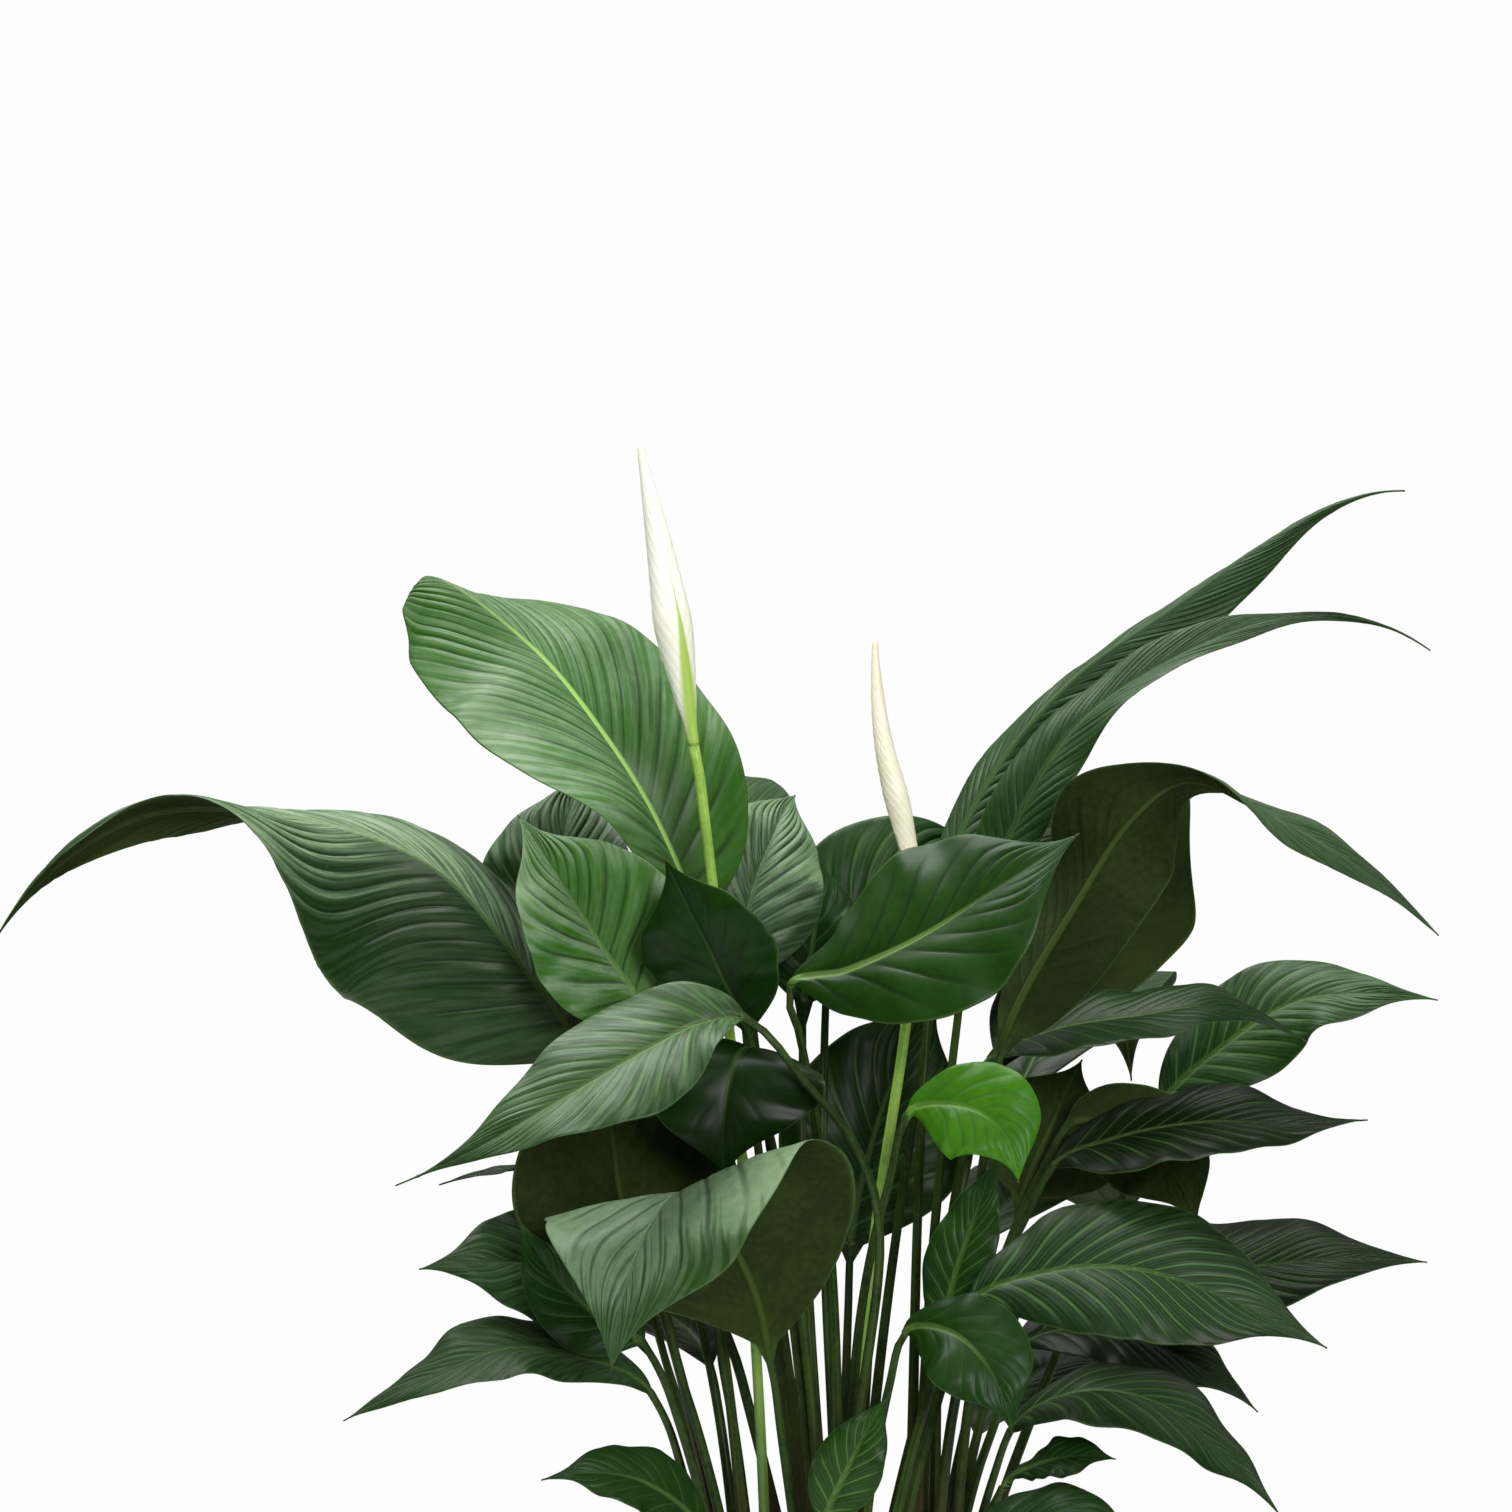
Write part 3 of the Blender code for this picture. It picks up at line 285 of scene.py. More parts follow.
# %% Plan the flowers
FLOWERS = {
    "left": dict(
        crown="left",
        path=[(-4.6, -1, 24), (-5.9, -2.3, 37), (-7.3, -3, 47.5)],
        axis=[(-8.1, -3.2, 52.3), (-9, -3.3, 57.5), (-9.95, -3.3, 62.3)],
        width=2.1,
        spadix=0.7,
        lap_at=-147,
        twist=0,
        lean=1.4,
        stripe=1.0,
    ),
    "right": dict(
        crown="back",
        path=[(1.8, 3, 24), (3.7, 0.5, 34), (3.75, -0.8, 39.5)],
        axis=[(3.1, -1.3, 43.5), (2.1, -1.4, 48), (1.75, -1.4, 52.6)],
        width=1.35,
        spadix=0.44,
        lap_at=20,
        twist=200,
        lean=1.5,
        stripe=0.15,
    ),
}
print("flowers planned:", ", ".join(FLOWERS))

# %% [markdown]
# ## Smooth curves
#
# A stalk or a midrib is a smooth curve through a few points. Blender's own curve objects can do this,
# but here every later step needs the place and the direction at any share of the length, so the curve
# is a formula: between two points, a Hermite cubic leaves each in its own direction.

# %% Curve helpers
FLAT = 1e-9


def unit(v):
    return v / (np.linalg.norm(v, axis=-1, keepdims=True) + FLAT)


def across(v, axis):
    """The part of v at right angles to axis, as a unit vector."""
    v = np.asarray(v, float)
    return unit(v - (v * axis).sum(-1, keepdims=True) * axis)


def smooth(low, high, x):
    """0 below low, 1 above high, and an S-shaped rise between them."""
    x = np.clip((np.asarray(x, float) - low) / (high - low), 0, 1)
    return x * x * (3 - 2 * x)


def hermite(points, tangents, t):
    """Places on the smooth curve through points, at t from 0 to 1 of its chord length."""
    points, tangents, t = np.array(points), np.array(tangents), np.asarray(t, float)
    steps = np.linalg.norm(np.diff(points, axis=0), axis=1)
    marks = np.concatenate([[0], np.cumsum(steps)])
    at = np.clip(t, 0, 1) * marks[-1]
    i = np.clip(np.searchsorted(marks, at, side="right") - 1, 0, len(steps) - 1)
    u = ((at - marks[i]) / steps[i])[..., None]
    a, b, step = points[i], points[i + 1], steps[i][..., None]
    bulge = tangents[i] * step * u * (1 - u) ** 2 - tangents[i + 1] * step * u * u * (1 - u)
    return a + (b - a) * u * u * (3 - 2 * u) + bulge

RISE = hermite([(0, 0, 0), (1, 0, 1)], [UP, UP], 0.5)
print("halfway up a curve that starts and ends upright:", RISE.round(2).tolist())

# %% [markdown]
# The direction at a point of the plan comes from the chords on both sides of it, and the direction
# anywhere else from two places a little apart. A property that changes along a leaf, such as its cup, is
# a short list, and between eases from one value to the next.

# %% Directions along a curve
CURVE_STEP = 0.01
CORNER_EASE = 0.05


def chord_tangents(points):
    """The direction of the curve at each of its points, from the chords beside it."""
    chords = unit(np.diff(np.array(points), axis=0))
    inner = unit(chords[:-1] + chords[1:])
    if len(inner) == 0:
        return np.array([chords[0], chords[0]])
    return np.concatenate([[unit(2 * chords[0] - inner[0])], inner, [unit(2 * chords[-1] - inner[-1])]])


def along_curve(points, tangents, t):
    """(places, directions) on a curve at t of its length."""
    ahead = hermite(points, tangents, np.minimum(t + CURVE_STEP, 1))
    behind = hermite(points, tangents, np.maximum(t - CURVE_STEP, 0))
    return hermite(points, tangents, t), unit(ahead - behind)


def length_of(points):
    return np.linalg.norm(np.diff(np.array(points), axis=0), axis=1).sum()


def between(values, t):
    """The value at t of the way along a list that is spread evenly from base to tip, its corners eased."""
    values = np.array(values, float)
    values = values[:, None] if values.ndim == 1 else values
    total = 0
    shifts = np.linspace(-CORNER_EASE, CORNER_EASE, 7)
    for shift in shifts:
        at = np.clip(np.asarray(t) + shift, 0, 1) * (len(values) - 1)
        i = np.minimum(at.astype(int), len(values) - 1)
        j = np.minimum(i + 1, len(values) - 1)
        total = total + values[i] + (values[j] - values[i]) * (at - i)[..., None]
    total = total / len(shifts)
    return total[..., 0] if total.shape[-1] == 1 else total


def place(point):
    """A point of the plan, in centimetres above the soil, as metres in the part's frame."""
    return np.array([point[0] * CM, point[1] * CM, SOIL_LEVEL + point[2] * CM])


LONG_MIDRIB = length_of([place(p) for p in LEAVES["leaf_left_long_arch"]["rib"]])
print("midrib of the long left leaf:", round(LONG_MIDRIB / CM), "cm")

# %% [markdown]
# ## Where the stalks stand
#
# All the stalks of a clump leave a few crowns at the soil, and each slides past its neighbours on its
# way up. The feet start where each stalk leans and are pushed apart until none touch. The same pushing
# is repeated at level after level up the stalks, with a pull that keeps each curve smooth.

# %% Push things apart
STALK_CLEARANCE = 0.0028
STALK_SPACING = 2 * STALK_FOOT_RADIUS + STALK_CLEARANCE
SETTLE_ROUNDS = 80


def pushed_apart(spots, distance):
    """The spots after each pair that is nearer than distance has moved apart by half of what is missing."""
    away = spots[:, None] - spots[None]
    near = np.linalg.norm(away, axis=2) + FLAT
    np.fill_diagonal(near, 1)
    short = np.clip(distance - near, 0, None) / near / 2
    return spots + (away * short[:, :, None]).sum(axis=1)

print("stalks keep", round(1000 * STALK_SPACING, 1), "mm between their middles")

# %% [markdown]
# A foot starts where its stalk leans, and is then pushed away from its neighbours and kept on its crown,
# round after round.

# %% Place the feet
FOOT_REACH = 0.05


def feet(heads):
    """Where each stalk stands on its crown: on the side that it leans to, and clear of its neighbours."""
    found = {}
    for crown, centre in CROWNS.items():
        middle = np.array(centre) * CROWN_SPREAD
        names = [name for name, (owner, _) in heads.items() if owner == crown]
        lean = np.array([heads[name][1][:2] - middle for name in names])
        rise = np.array([[heads[name][1][2] - CROWN_TOP] for name in names])
        spots = FOOT_REACH * lean / (rise + FOOT_REACH)
        for _ in range(SETTLE_ROUNDS):
            spots = pushed_apart(spots, 2 * STALK_FOOT_RADIUS + 2 * FIT_GAP)
            out = np.linalg.norm(spots, axis=1, keepdims=True)
            most = CROWN_RADIUS - CROWN_ROUND - STALK_FOOT_RADIUS
            spots = spots * np.minimum(1, most / (out + FLAT))
        for name, spot in zip(names, spots):
            found[name] = np.array([*(spot + middle), CROWN_TOP + FIT_GAP])
    return found

print("feet start", 100 * FOOT_REACH, "cm along the lean of their stalks")

# %% [markdown]
# At each level the stalks are points in a plane. They are pushed apart there, and then each is pulled
# towards the line through its own points above and below, so that no stalk is left with a kink.

# %% Settle the stalks
LEVEL_STEP = 0.025
LAST_SMOOTH_ROUND = 0.8
SMOOTH_PULL = 0.15
HOME_PULL = 0.04
STALK_SAMPLES = 60


def settled(curves):
    """Moves the stalks sideways at evenly spaced levels until they stand clear of one another."""
    names = list(curves)
    top = max(curves[name][0][-1][2] for name in names)
    levels = np.arange(CROWN_TOP + LEVEL_STEP, top, LEVEL_STEP)
    start = {}
    for name, (points, tangents) in curves.items():
        fine = hermite(points, tangents, np.linspace(0, 1, STALK_SAMPLES))
        inside = levels < points[-1][2] - LEVEL_STEP / 2
        both = [np.interp(levels[inside], fine[:, 2], fine[:, axis]) for axis in (0, 1)]
        start[name] = np.stack(both, axis=1)
    spots = {name: np.array(start[name]) for name in names}
    for step in range(SETTLE_ROUNDS):
        for k in range(len(levels)):
            here = [name for name in names if len(spots[name]) > k]
            if len(here) > 1:
                moved = pushed_apart(np.array([spots[name][k] for name in here]), STALK_SPACING)
                for name, spot in zip(here, moved):
                    spots[name][k] = spot
        if step > SETTLE_ROUNDS * LAST_SMOOTH_ROUND:
            continue
        for name, found in spots.items():
            if len(found) > 1:
                ends = curves[name][0][0][:2], curves[name][0][-1][:2]
                wide = np.array([ends[0], *found, ends[1]])
                bent = wide[:-2] + wide[2:] - 2 * found
                found += SMOOTH_PULL * bent + HOME_PULL * (start[name] - found)
    return {
        name: [points[0], *(np.array([*spot, z]) for spot, z in zip(spots[name], levels)), points[-1]]
        for name, (points, _) in curves.items()
    }

print("levels are", 100 * LEVEL_STEP, "cm apart")

# %% [markdown]
# A stalk leaves its crown upright and runs into the midrib without a corner. A flower's stalk also
# passes through the points of its own path.

# %% Draw the stalks
def stalk_curve(foot, plan):
    """(points, tangents) of a leaf's stalk, which leaves the crown upright and runs into the midrib."""
    rib = [place(p) for p in plan["rib"]]
    points = [foot, *(place(p) for p in plan["via"]), rib[0]]
    tangents = chord_tangents(points)
    tangents[0] = unit(np.array([0, 0, 1.2]) + unit(points[1] - foot))
    tangents[-1] = unit(unit(rib[0] - points[-2]) + chord_tangents(rib)[0])
    return points, tangents


def scape_curve(foot, flower):
    points = [foot, *(place(p) for p in flower["path"])]
    tangents = chord_tangents(points)
    tangents[0] = np.array(UP)
    return points, tangents


def stalks():
    """name -> (points, tangents) of every stalk, leaf or flower."""
    heads = {name: (plan["crown"], place(plan["rib"][0])) for name, plan in LEAVES.items()}
    scapes = {"scape_" + name: flower for name, flower in FLOWERS.items()}
    heads.update({name: (flower["crown"], place(flower["path"][1])) for name, flower in scapes.items()})
    stand = feet(heads)
    curves = {name: stalk_curve(stand[name], plan) for name, plan in LEAVES.items()}
    curves.update({name: scape_curve(stand[name], flower) for name, flower in scapes.items()})
    found = {}
    for name, points in settled(curves).items():
        tangents = chord_tangents(points)
        tangents[0], tangents[-1] = np.array(UP), curves[name][1][-1]
        found[name] = points, tangents
    return found


STALKS = stalks()
print("longest stalk:", round(max(length_of(points) for points, _ in STALKS.values()) / CM), "cm")

# %% [markdown]
# ## From rings to a closed mesh
#
# A leaf, a stalk, a spathe and a spadix are all skins over a row of rings, each ring a closed line of the
# same number of points. One helper joins neighbouring rings with quads, closes the two ends, and writes
# what the materials need to know, such as how far a point is from the midrib, as named attributes.

# %% Ring helper
def skin(name, rings, **marks):
    """A closed mesh over rings, an array of (rows, points, 3), clockwise as seen from the last row."""
    rows, count = rings.shape[:2]
    grid = np.arange(rows * count).reshape(rows, count)
    turned = np.roll(grid, -1, axis=1)
    quads = np.stack([grid[:-1], grid[1:], turned[1:], turned[:-1]], axis=-1).reshape(-1, 4)
    faces = quads.tolist() + [grid[0].tolist(), grid[-1][::-1].tolist()]
    mesh = bpy.data.meshes.new(name)
    mesh.from_pydata(rings.reshape(-1, 3).tolist(), [], faces)
    for mark, values in marks.items():
        made = mesh.attributes.new(mark, "FLOAT_VECTOR", "POINT")
        made.data.foreach_set("vector", np.ascontiguousarray(values, np.float32).ravel())
    mesh.shade_smooth()
    return mesh


def stand_in_scene(name, mesh, material, slot, *nodes):
    """Puts a finished mesh in the scene as the piece that replaces these CAD nodes."""
    made = bpy.data.objects.new(name, mesh)
    bpy.context.scene.collection.objects.link(made)
    mesh.materials.append(material)
    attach(made, "root")
    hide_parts(*nodes)
    return made


# %% [markdown]
# ## How a leaf of this plant is built
#
# The blade is a pointed oval. Strong side veins leave the midrib, sweep towards the tip and fade near
# the margin, and between two of them the blade puffs up into a rounded ridge. That quilted relief is
# what catches the light, so it is modelled, not only painted: every row of the mesh follows a side
# vein, which gives sharp creases with few points. Beneath, the midrib stands out as a tapering rod that
# grows out of the stalk without a seam.

# %% Looks of the leaves
RIDGE_HEIGHT = 0.085
LOOKS = {}


def look(name, tone=0.4, bloom_and_sheen=0.1, rib=0.12, veins=0.15, ridge=1.0, gap=1.0):
    """How a leaf differs: tone from 0, the dark green of old leaves that also paints shade, to 1, just
    opened; how much grey it has, partly wax bloom and partly painted sheen; how pale its rib and side
    veins are; how deep its ridges are, and how far apart."""
    LOOKS["leaf_" + name] = dict(tone=tone, bloom_and_sheen=bloom_and_sheen, rib=rib, veins=veins, ridge=ridge, gap=gap)


# A low tone gives a leaf the dark green of age and also paints the shade on leaves deep in the clump. The
# grey value lays partly wax bloom and partly painted sheen and highlight streaks on a leaf.
look("upper_left_broad", tone=0.72, bloom_and_sheen=1.0, rib=0.85, veins=0, ridge=0.6, gap=0.75)
look("left_long_arch", tone=0.38, bloom_and_sheen=1.3, rib=0.1, veins=0, ridge=2.8, gap=0.8)
look("left_behind", tone=0.38, bloom_and_sheen=2.0, rib=0.05, veins=0, ridge=2.2, gap=0.8)
look("centre_left_glossy", tone=0.8, bloom_and_sheen=3.2, rib=0.2, veins=0, ridge=2.4, gap=0.75)
look("centre_dark", tone=0.45, bloom_and_sheen=0.0, rib=0.05, veins=0, ridge=0.35)
look("centre_back_grey", tone=0.45, bloom_and_sheen=3.2, rib=0.05, veins=0, ridge=1.9, gap=0.8)
look("centre_back_small")
look("centre_back_right", bloom_and_sheen=0.15, ridge=1.4)
look("front_left_sweep", tone=0.45, bloom_and_sheen=0.5, rib=0.1, veins=0.2, ridge=0.8)
look("centre_hanging", tone=0.25, bloom_and_sheen=0.0, rib=0.05, veins=0, ridge=0.4)
look("front_folded", tone=0.55, bloom_and_sheen=3.2, rib=0.1, veins=0, ridge=0.8, gap=1.2)
look("centre_right_bright", tone=0.5, bloom_and_sheen=0.0, rib=0.3, veins=0, ridge=0.8, gap=1.2)
look("right_top", tone=0.5, bloom_and_sheen=0.25, rib=0.05, veins=0, ridge=1.4)
look("right_second", tone=0.42, bloom_and_sheen=0.25, rib=0.05, veins=0)
look("right_drooping", tone=0.42, bloom_and_sheen=0.4, rib=0.1, veins=0, ridge=1.2)
look("right_shadowed", tone=0.15, bloom_and_sheen=0.0, rib=0.05, veins=0, ridge=0.5)
look("right_glossy", tone=0.3, bloom_and_sheen=0.05)
look("right_far", tone=0.38, bloom_and_sheen=0.5, veins=0.25, ridge=1.2)
look("right_mid", tone=0.15, bloom_and_sheen=0.0, veins=0.2, ridge=1.2)
look("right_under", tone=0.3)
look("right_inner", tone=0.35)
look("right_broad", tone=0.26, bloom_and_sheen=0.15, veins=0.3, ridge=0.8)
look("right_behind_broad", tone=0.15, bloom_and_sheen=0.0, veins=0.3)
look("right_low_arch", tone=0.3, veins=0.3)
look("centre_young", tone=1.0, bloom_and_sheen=0.0, rib=0.2, veins=0.1, ridge=0.7)
look("front_right_small", tone=0.46, bloom_and_sheen=0.0, rib=0.15, veins=0.05, ridge=0.8)
look("right_narrow", bloom_and_sheen=0.0, veins=0.2)
look("front_low_young", tone=0.48, bloom_and_sheen=0.05, veins=0.25)
look("left_lowest", tone=0.45, bloom_and_sheen=0.05, veins=0.1)
look("left_low_long", tone=0.42, bloom_and_sheen=0.2, veins=0.1)
look("left_mid", tone=0.42, bloom_and_sheen=0.2, veins=0.2)
for position, name in enumerate(LEAVES):
    if name not in LOOKS:
        tone, bloom_and_sheen = 0.26 + 0.05 * (position % 5), 0.05 + 0.05 * (position % 3)
        look(name.removeprefix("leaf_"), tone=tone, bloom_and_sheen=bloom_and_sheen)
print("looks:", len(LOOKS))

# %% [markdown]
# The blade is worked out on a grid. A column keeps its share of the way from midrib to margin, and a row
# is one line along a side vein. The rod of the midrib needs columns close together, and the rest of the
# blade can spread them out, so the columns bunch within the rod's radius.

# %% Shape a blade
ROWS_PER_VEIN = 12
RIB_COLUMNS = 3
LEAST_COLUMNS = 9
COLUMNS_PER_CM = 0.9
TAIL_START = 0.7
TAIL_END = 0.95
TAIL_PINCH = 0.45
EDGE_SHARE = 0.985
TIP_END = 0.998
RIB_TIP_RADIUS = 0.0003
RIB_TAPER = 0.85


def half_width(t, plan):
    """Half the blade's width at t of its length: it swells from the stalk and draws out to a thin tail."""
    rise = plan["draw"] * plan["belly"] / (1 - plan["belly"])
    swell = (t / plan["belly"]) ** rise * ((1 - t) / (1 - plan["belly"])) ** plan["draw"]
    return 0.5 * plan["width"] * CM * swell * (1 - TAIL_PINCH * smooth(TAIL_START, TAIL_END, t))


def rib_radius(t):
    return RIB_TIP_RADIUS + (STALK_TOP_RADIUS - RIB_TIP_RADIUS) * (1 - t) ** RIB_TAPER


def reaches(half, rod, columns):
    """Distance of each column from the midrib: bunched over the rod, even beyond it, round on a stalk."""
    k = np.arange(columns + 1)
    inner = np.minimum(1.3 * rod, 0.3 * half)
    share = np.clip((k - RIB_COLUMNS) / (columns - 1 - RIB_COLUMNS), 0, 1) * EDGE_SHARE
    share[-1] = 1
    wide = np.where(k <= RIB_COLUMNS, inner * k / RIB_COLUMNS, inner + (half - inner) * share)
    round_one = half * np.sin(np.minimum(k / columns, 1) * math.pi / 2)
    return round_one + (wide - round_one) * smooth(1, 5, half / rod)

print("rib radius at the tip:", 1000 * rib_radius(1), "mm")

# %% [markdown]
# Side veins leave the midrib at uneven gaps and sweep towards the tip. A row's share of the length
# therefore grows with the distance from the midrib, and drifts a little, as no two veins run alike.

# %% Lay out a blade's grid
VEIN_GAP = 0.004
VEIN_GAP_PER_WIDTH = 0.07
VEIN_GAP_SPREAD = 0.16
LEAST_VEINS = 6
VEIN_SWEEP = 9
SWEEP_LEAST, SWEEP_MOST = 0.8, 2.4
VEIN_CURVE = 1.2
VEIN_DRIFT = 0.3


def vein_starts(length, plan, style, rng):
    """Shares of the midrib where side veins leave it, unevenly as in life."""
    gap = (VEIN_GAP + VEIN_GAP_PER_WIDTH * plan["width"] * CM) * style["gap"]
    count = max(LEAST_VEINS, round(length / gap))
    gaps = 1 + VEIN_GAP_SPREAD * rng.uniform(-1, 1, count)
    marks = np.concatenate([[0], np.cumsum(gaps)])
    return marks / marks[-1], gap


def blade_grid(plan, style, length, rng):
    """The vein that each row follows, each point's share of the length, and the veins' starts and gap."""
    starts, gap = vein_starts(length, plan, style, rng)
    vein = np.arange((len(starts) - 1) * ROWS_PER_VEIN + 1) / ROWS_PER_VEIN
    start = np.interp(vein, np.arange(len(starts)), starts)[1:, None]
    vein = vein[1:, None]
    columns = LEAST_COLUMNS + round(plan["width"] * COLUMNS_PER_CM)
    k = np.arange(columns + 1) / columns
    sweep = np.clip(VEIN_SWEEP * plan["width"] * CM / 2 / length, SWEEP_LEAST, SWEEP_MOST)
    t = 1 - (1 - start) ** (1 + sweep * k**VEIN_CURVE)
    drift = np.interp(vein, np.arange(len(starts)), rng.uniform(-1, 1, len(starts)))
    drift = VEIN_DRIFT * gap / length * drift * k * (1 - k) * 4 * start * (1 - start)
    return vein, np.clip(t + drift, 0, TIP_END), starts, gap, columns


def mirrored(left, right=None):
    """Both halves of the blade side by side, from the left margin over the midrib to the right margin."""
    return np.concatenate([left[:, :0:-1], left if right is None else right], axis=1)


print("widest vein gap:", round(1000 * (VEIN_GAP + VEIN_GAP_PER_WIDTH * 15.8 * CM), 1), "mm")

# %% [markdown]
# The sheet follows the midrib, and each half of it is lifted by the plan's cup and bent down again by its
# arch. Slow, random waves run along each half, because no real margin is even. The relief comes last: each
# point moves along the sheet's own direction, so the ridges stand out at right angles wherever it turns.

# %% Bend the sheet and raise its relief
HALVES_OUT_OF_STEP = 1.3
LIVE_WAVE = 0.0016
LIVE_RIPPLE = 0.0008
RIDGES_AT_RIB = 0.4, 1.3
RIDGES_AT_MARGIN = 0.1, 1.4
RIDGE_ROUNDNESS = 0.65
FINE_RIDGE = 0.08


def blade_sheet(plan, t, half, reach, rib, tangents, rng):
    """The middle of the blade's thickness, without its relief."""
    share = reach / half
    centre, along = along_curve(rib, tangents, t)
    up = across(between(plan["face"], t), along)
    side = np.cross(along, up)
    lift = np.radians(between(plan["cup"], t))
    halves = []
    for s in (-1, 1):
        turn = math.tau * plan["waves"] * t + (HALVES_OUT_OF_STEP if s > 0 else 0)
        ripple = plan["wave"] * CM * np.sin(turn)
        live = LIVE_WAVE * np.sin(math.tau * (rng.uniform(2.2, 3.4) * t + rng.uniform(0, 1)))
        live = live + LIVE_RIPPLE * np.sin(math.tau * (rng.uniform(5, 7) * t + rng.uniform(0, 1)))
        rise = reach * np.sin(lift) - half * plan["arch"] * share**2
        rise = rise + (ripple * share**2 + live * share) * np.sin(math.pi * t)
        halves.append(centre + side * (s * reach * np.cos(lift))[..., None] + up * rise[..., None])
    return mirrored(*halves)


def blade_ridges(phase, t, share, veins, rng):
    """The height of the quilted relief, from 0 at a side vein to about 1 between two of them."""
    middles = np.arange(veins + 2) + 0.5
    near_rib = np.interp(phase, middles, rng.uniform(*RIDGES_AT_RIB, len(middles)))
    near_margin = np.interp(phase, middles, rng.uniform(*RIDGES_AT_MARGIN, len(middles)))
    depth = near_rib + (near_margin - near_rib) * share
    bulge = np.abs(np.sin(math.pi * phase)) ** RIDGE_ROUNDNESS
    bulge = bulge + FINE_RIDGE * np.abs(np.sin(4 * math.pi * phase))
    fade = smooth(0.03, 0.3, share) * (1 - 0.8 * smooth(0.6, 1, share))
    return depth * bulge * (fade * smooth(0.01, 0.16, t) * (1 - smooth(0.8, 1, t)))

print("deepest ridge of a leaf with a 5 mm vein gap:", RIDGE_HEIGHT * 5, "mm")

# %% [markdown]
# The two skins are set off from the sheet: the upper one by half the thickness and the ridge, the lower
# one by the rod of the midrib too. Where the blade narrows into the stalk, both become the two halves of
# that rod. The marks are written beside each point, for the finish to read.

# %% Give the blade its skins
BLADE_THINNING = 0.3
GROOVE_DEPTH = 0.35
GROOVE_WIDTH = 0.8
ROD_BLEND = 40


def blade(plan, style, stalk_end, rng):
    """(rings, blade marks, vein marks, columns) of a leaf's blade."""
    rib = [place(p) for p in plan["rib"]]
    tangents = chord_tangents(rib)
    tangents[0] = stalk_end
    vein, t, starts, gap, columns = blade_grid(plan, style, length_of(rib), rng)
    rod = rib_radius(t)
    half = np.maximum(half_width(t, plan), np.maximum(rod * (1 - ROD_BLEND * t), TIP_HALF_WIDTH))
    reach = reaches(half, rod, columns)
    middle = blade_sheet(plan, t, half, reach, rib, tangents, rng)
    normal = unit(np.cross(np.gradient(middle, axis=1), np.gradient(middle, axis=0)))
    t, reach, rod, half = (mirrored(values) for values in (t, reach, rod, half))
    share = reach / half
    sign = np.concatenate([-np.ones(columns), [0], np.ones(columns)])
    phase = vein + np.where(sign < 0, 0.5, 0)
    ridge = RIDGE_HEIGHT * gap * style["ridge"] * blade_ridges(phase, t, share, len(starts), rng)
    rod_height = np.sqrt(np.maximum(rod**2 - reach**2, 0))
    grown = smooth(1.2, 5, half / rod)
    skin_half = BLADE_THICKNESS / 2 * (1 - BLADE_THINNING * t) * (share < 1)
    groove = GROOVE_DEPTH * rod * np.exp(-((reach / (GROOVE_WIDTH * rod)) ** 2)) * grown
    top = skin_half + (1 - grown) * rod_height - groove
    low = np.sqrt(skin_half**2 + rod_height**2)
    upper = middle + normal * (ridge + top)[..., None]
    lower = (middle + normal * (ridge - low)[..., None])[:, -2:0:-1]
    blade_mark = np.stack([share * sign, t, np.broadcast_to(phase, t.shape)], axis=-1)
    between_veins = np.abs(np.sin(math.pi * phase)) * np.ones_like(t)
    vein_mark = np.stack([reach * 1000, between_veins, np.zeros_like(t)], axis=-1)
    under_mark = vein_mark[:, -2:0:-1] * (1, 1, 0) + (0, 0, 1)
    return (
        np.concatenate([upper, lower], axis=1),
        np.concatenate([blade_mark, blade_mark[:, -2:0:-1]], axis=1),
        np.concatenate([vein_mark, under_mark], axis=1),
        columns,
    )


print("blade thickness:", 1000 * BLADE_THICKNESS, "mm")

# %% [markdown]
# The stalk is a rod with a shallow channel on the side that carries on as the blade's upper face. Near
# its foot it has the thin wings of a sheath, which wrapped the next younger leaf.

# %% Shape a stalk
STALK_ROWS = 34
STALK_IN_CROWN = 0.004
CHANNEL_DEPTH = 0.3
CHANNEL_WIDTH = 0.5
WING_HEIGHT = 0.2
WING_PLACE = 0.9
WING_WIDTH = 0.25


def stalk(curve, face, columns):
    """(rings, blade marks, vein marks) of a leaf's stalk, from inside its crown to its blade."""
    points, tangents = curve
    t = np.linspace(0, 1, STALK_ROWS)
    centre, along = along_curve(points, tangents, t)
    up = np.zeros_like(centre)
    up[-1] = across(face, along[-1])
    for i in range(STALK_ROWS - 2, -1, -1):
        up[i] = across(up[i + 1], along[i])
    side = np.cross(along, up)
    k = np.concatenate([np.arange(-columns, columns + 1), np.arange(columns - 1, -columns, -1)])
    upper = np.concatenate([np.ones(2 * columns + 1), -np.ones(2 * columns - 1)])
    turn = k / columns * math.pi / 2
    radius = (STALK_FOOT_RADIUS + (STALK_TOP_RADIUS - STALK_FOOT_RADIUS) * t)[:, None]
    channel = CHANNEL_DEPTH * np.exp(-((turn / CHANNEL_WIDTH) ** 2)) * (upper > 0)
    channel = channel * (smooth(0.1, 0.3, t) * (1 - smooth(0.9, 1, t)))[:, None]
    wings = WING_HEIGHT * np.exp(-(((np.abs(turn) - WING_PLACE) / WING_WIDTH) ** 2)) * (upper > 0)
    wings = wings * (1 - smooth(0.15, 0.45, t))[:, None]
    radius = radius * (1 - channel + wings)
    across_part = side[:, None] * (radius * np.sin(turn))[..., None]
    up_part = up[:, None] * (radius * np.cos(turn) * upper)[..., None]
    rings = centre[:, None] + across_part + up_part
    rings[0] -= along[0] * STALK_IN_CROWN
    flat = np.zeros((STALK_ROWS, 4 * columns))
    mark = np.stack([flat + k / columns, flat + (t - 1)[:, None], flat], axis=-1)
    vein_mark = np.stack([flat + 9, flat + 0.5, flat], axis=-1)
    return rings[:-1], mark[:-1], vein_mark[:-1]

print("stalk rows:", STALK_ROWS)
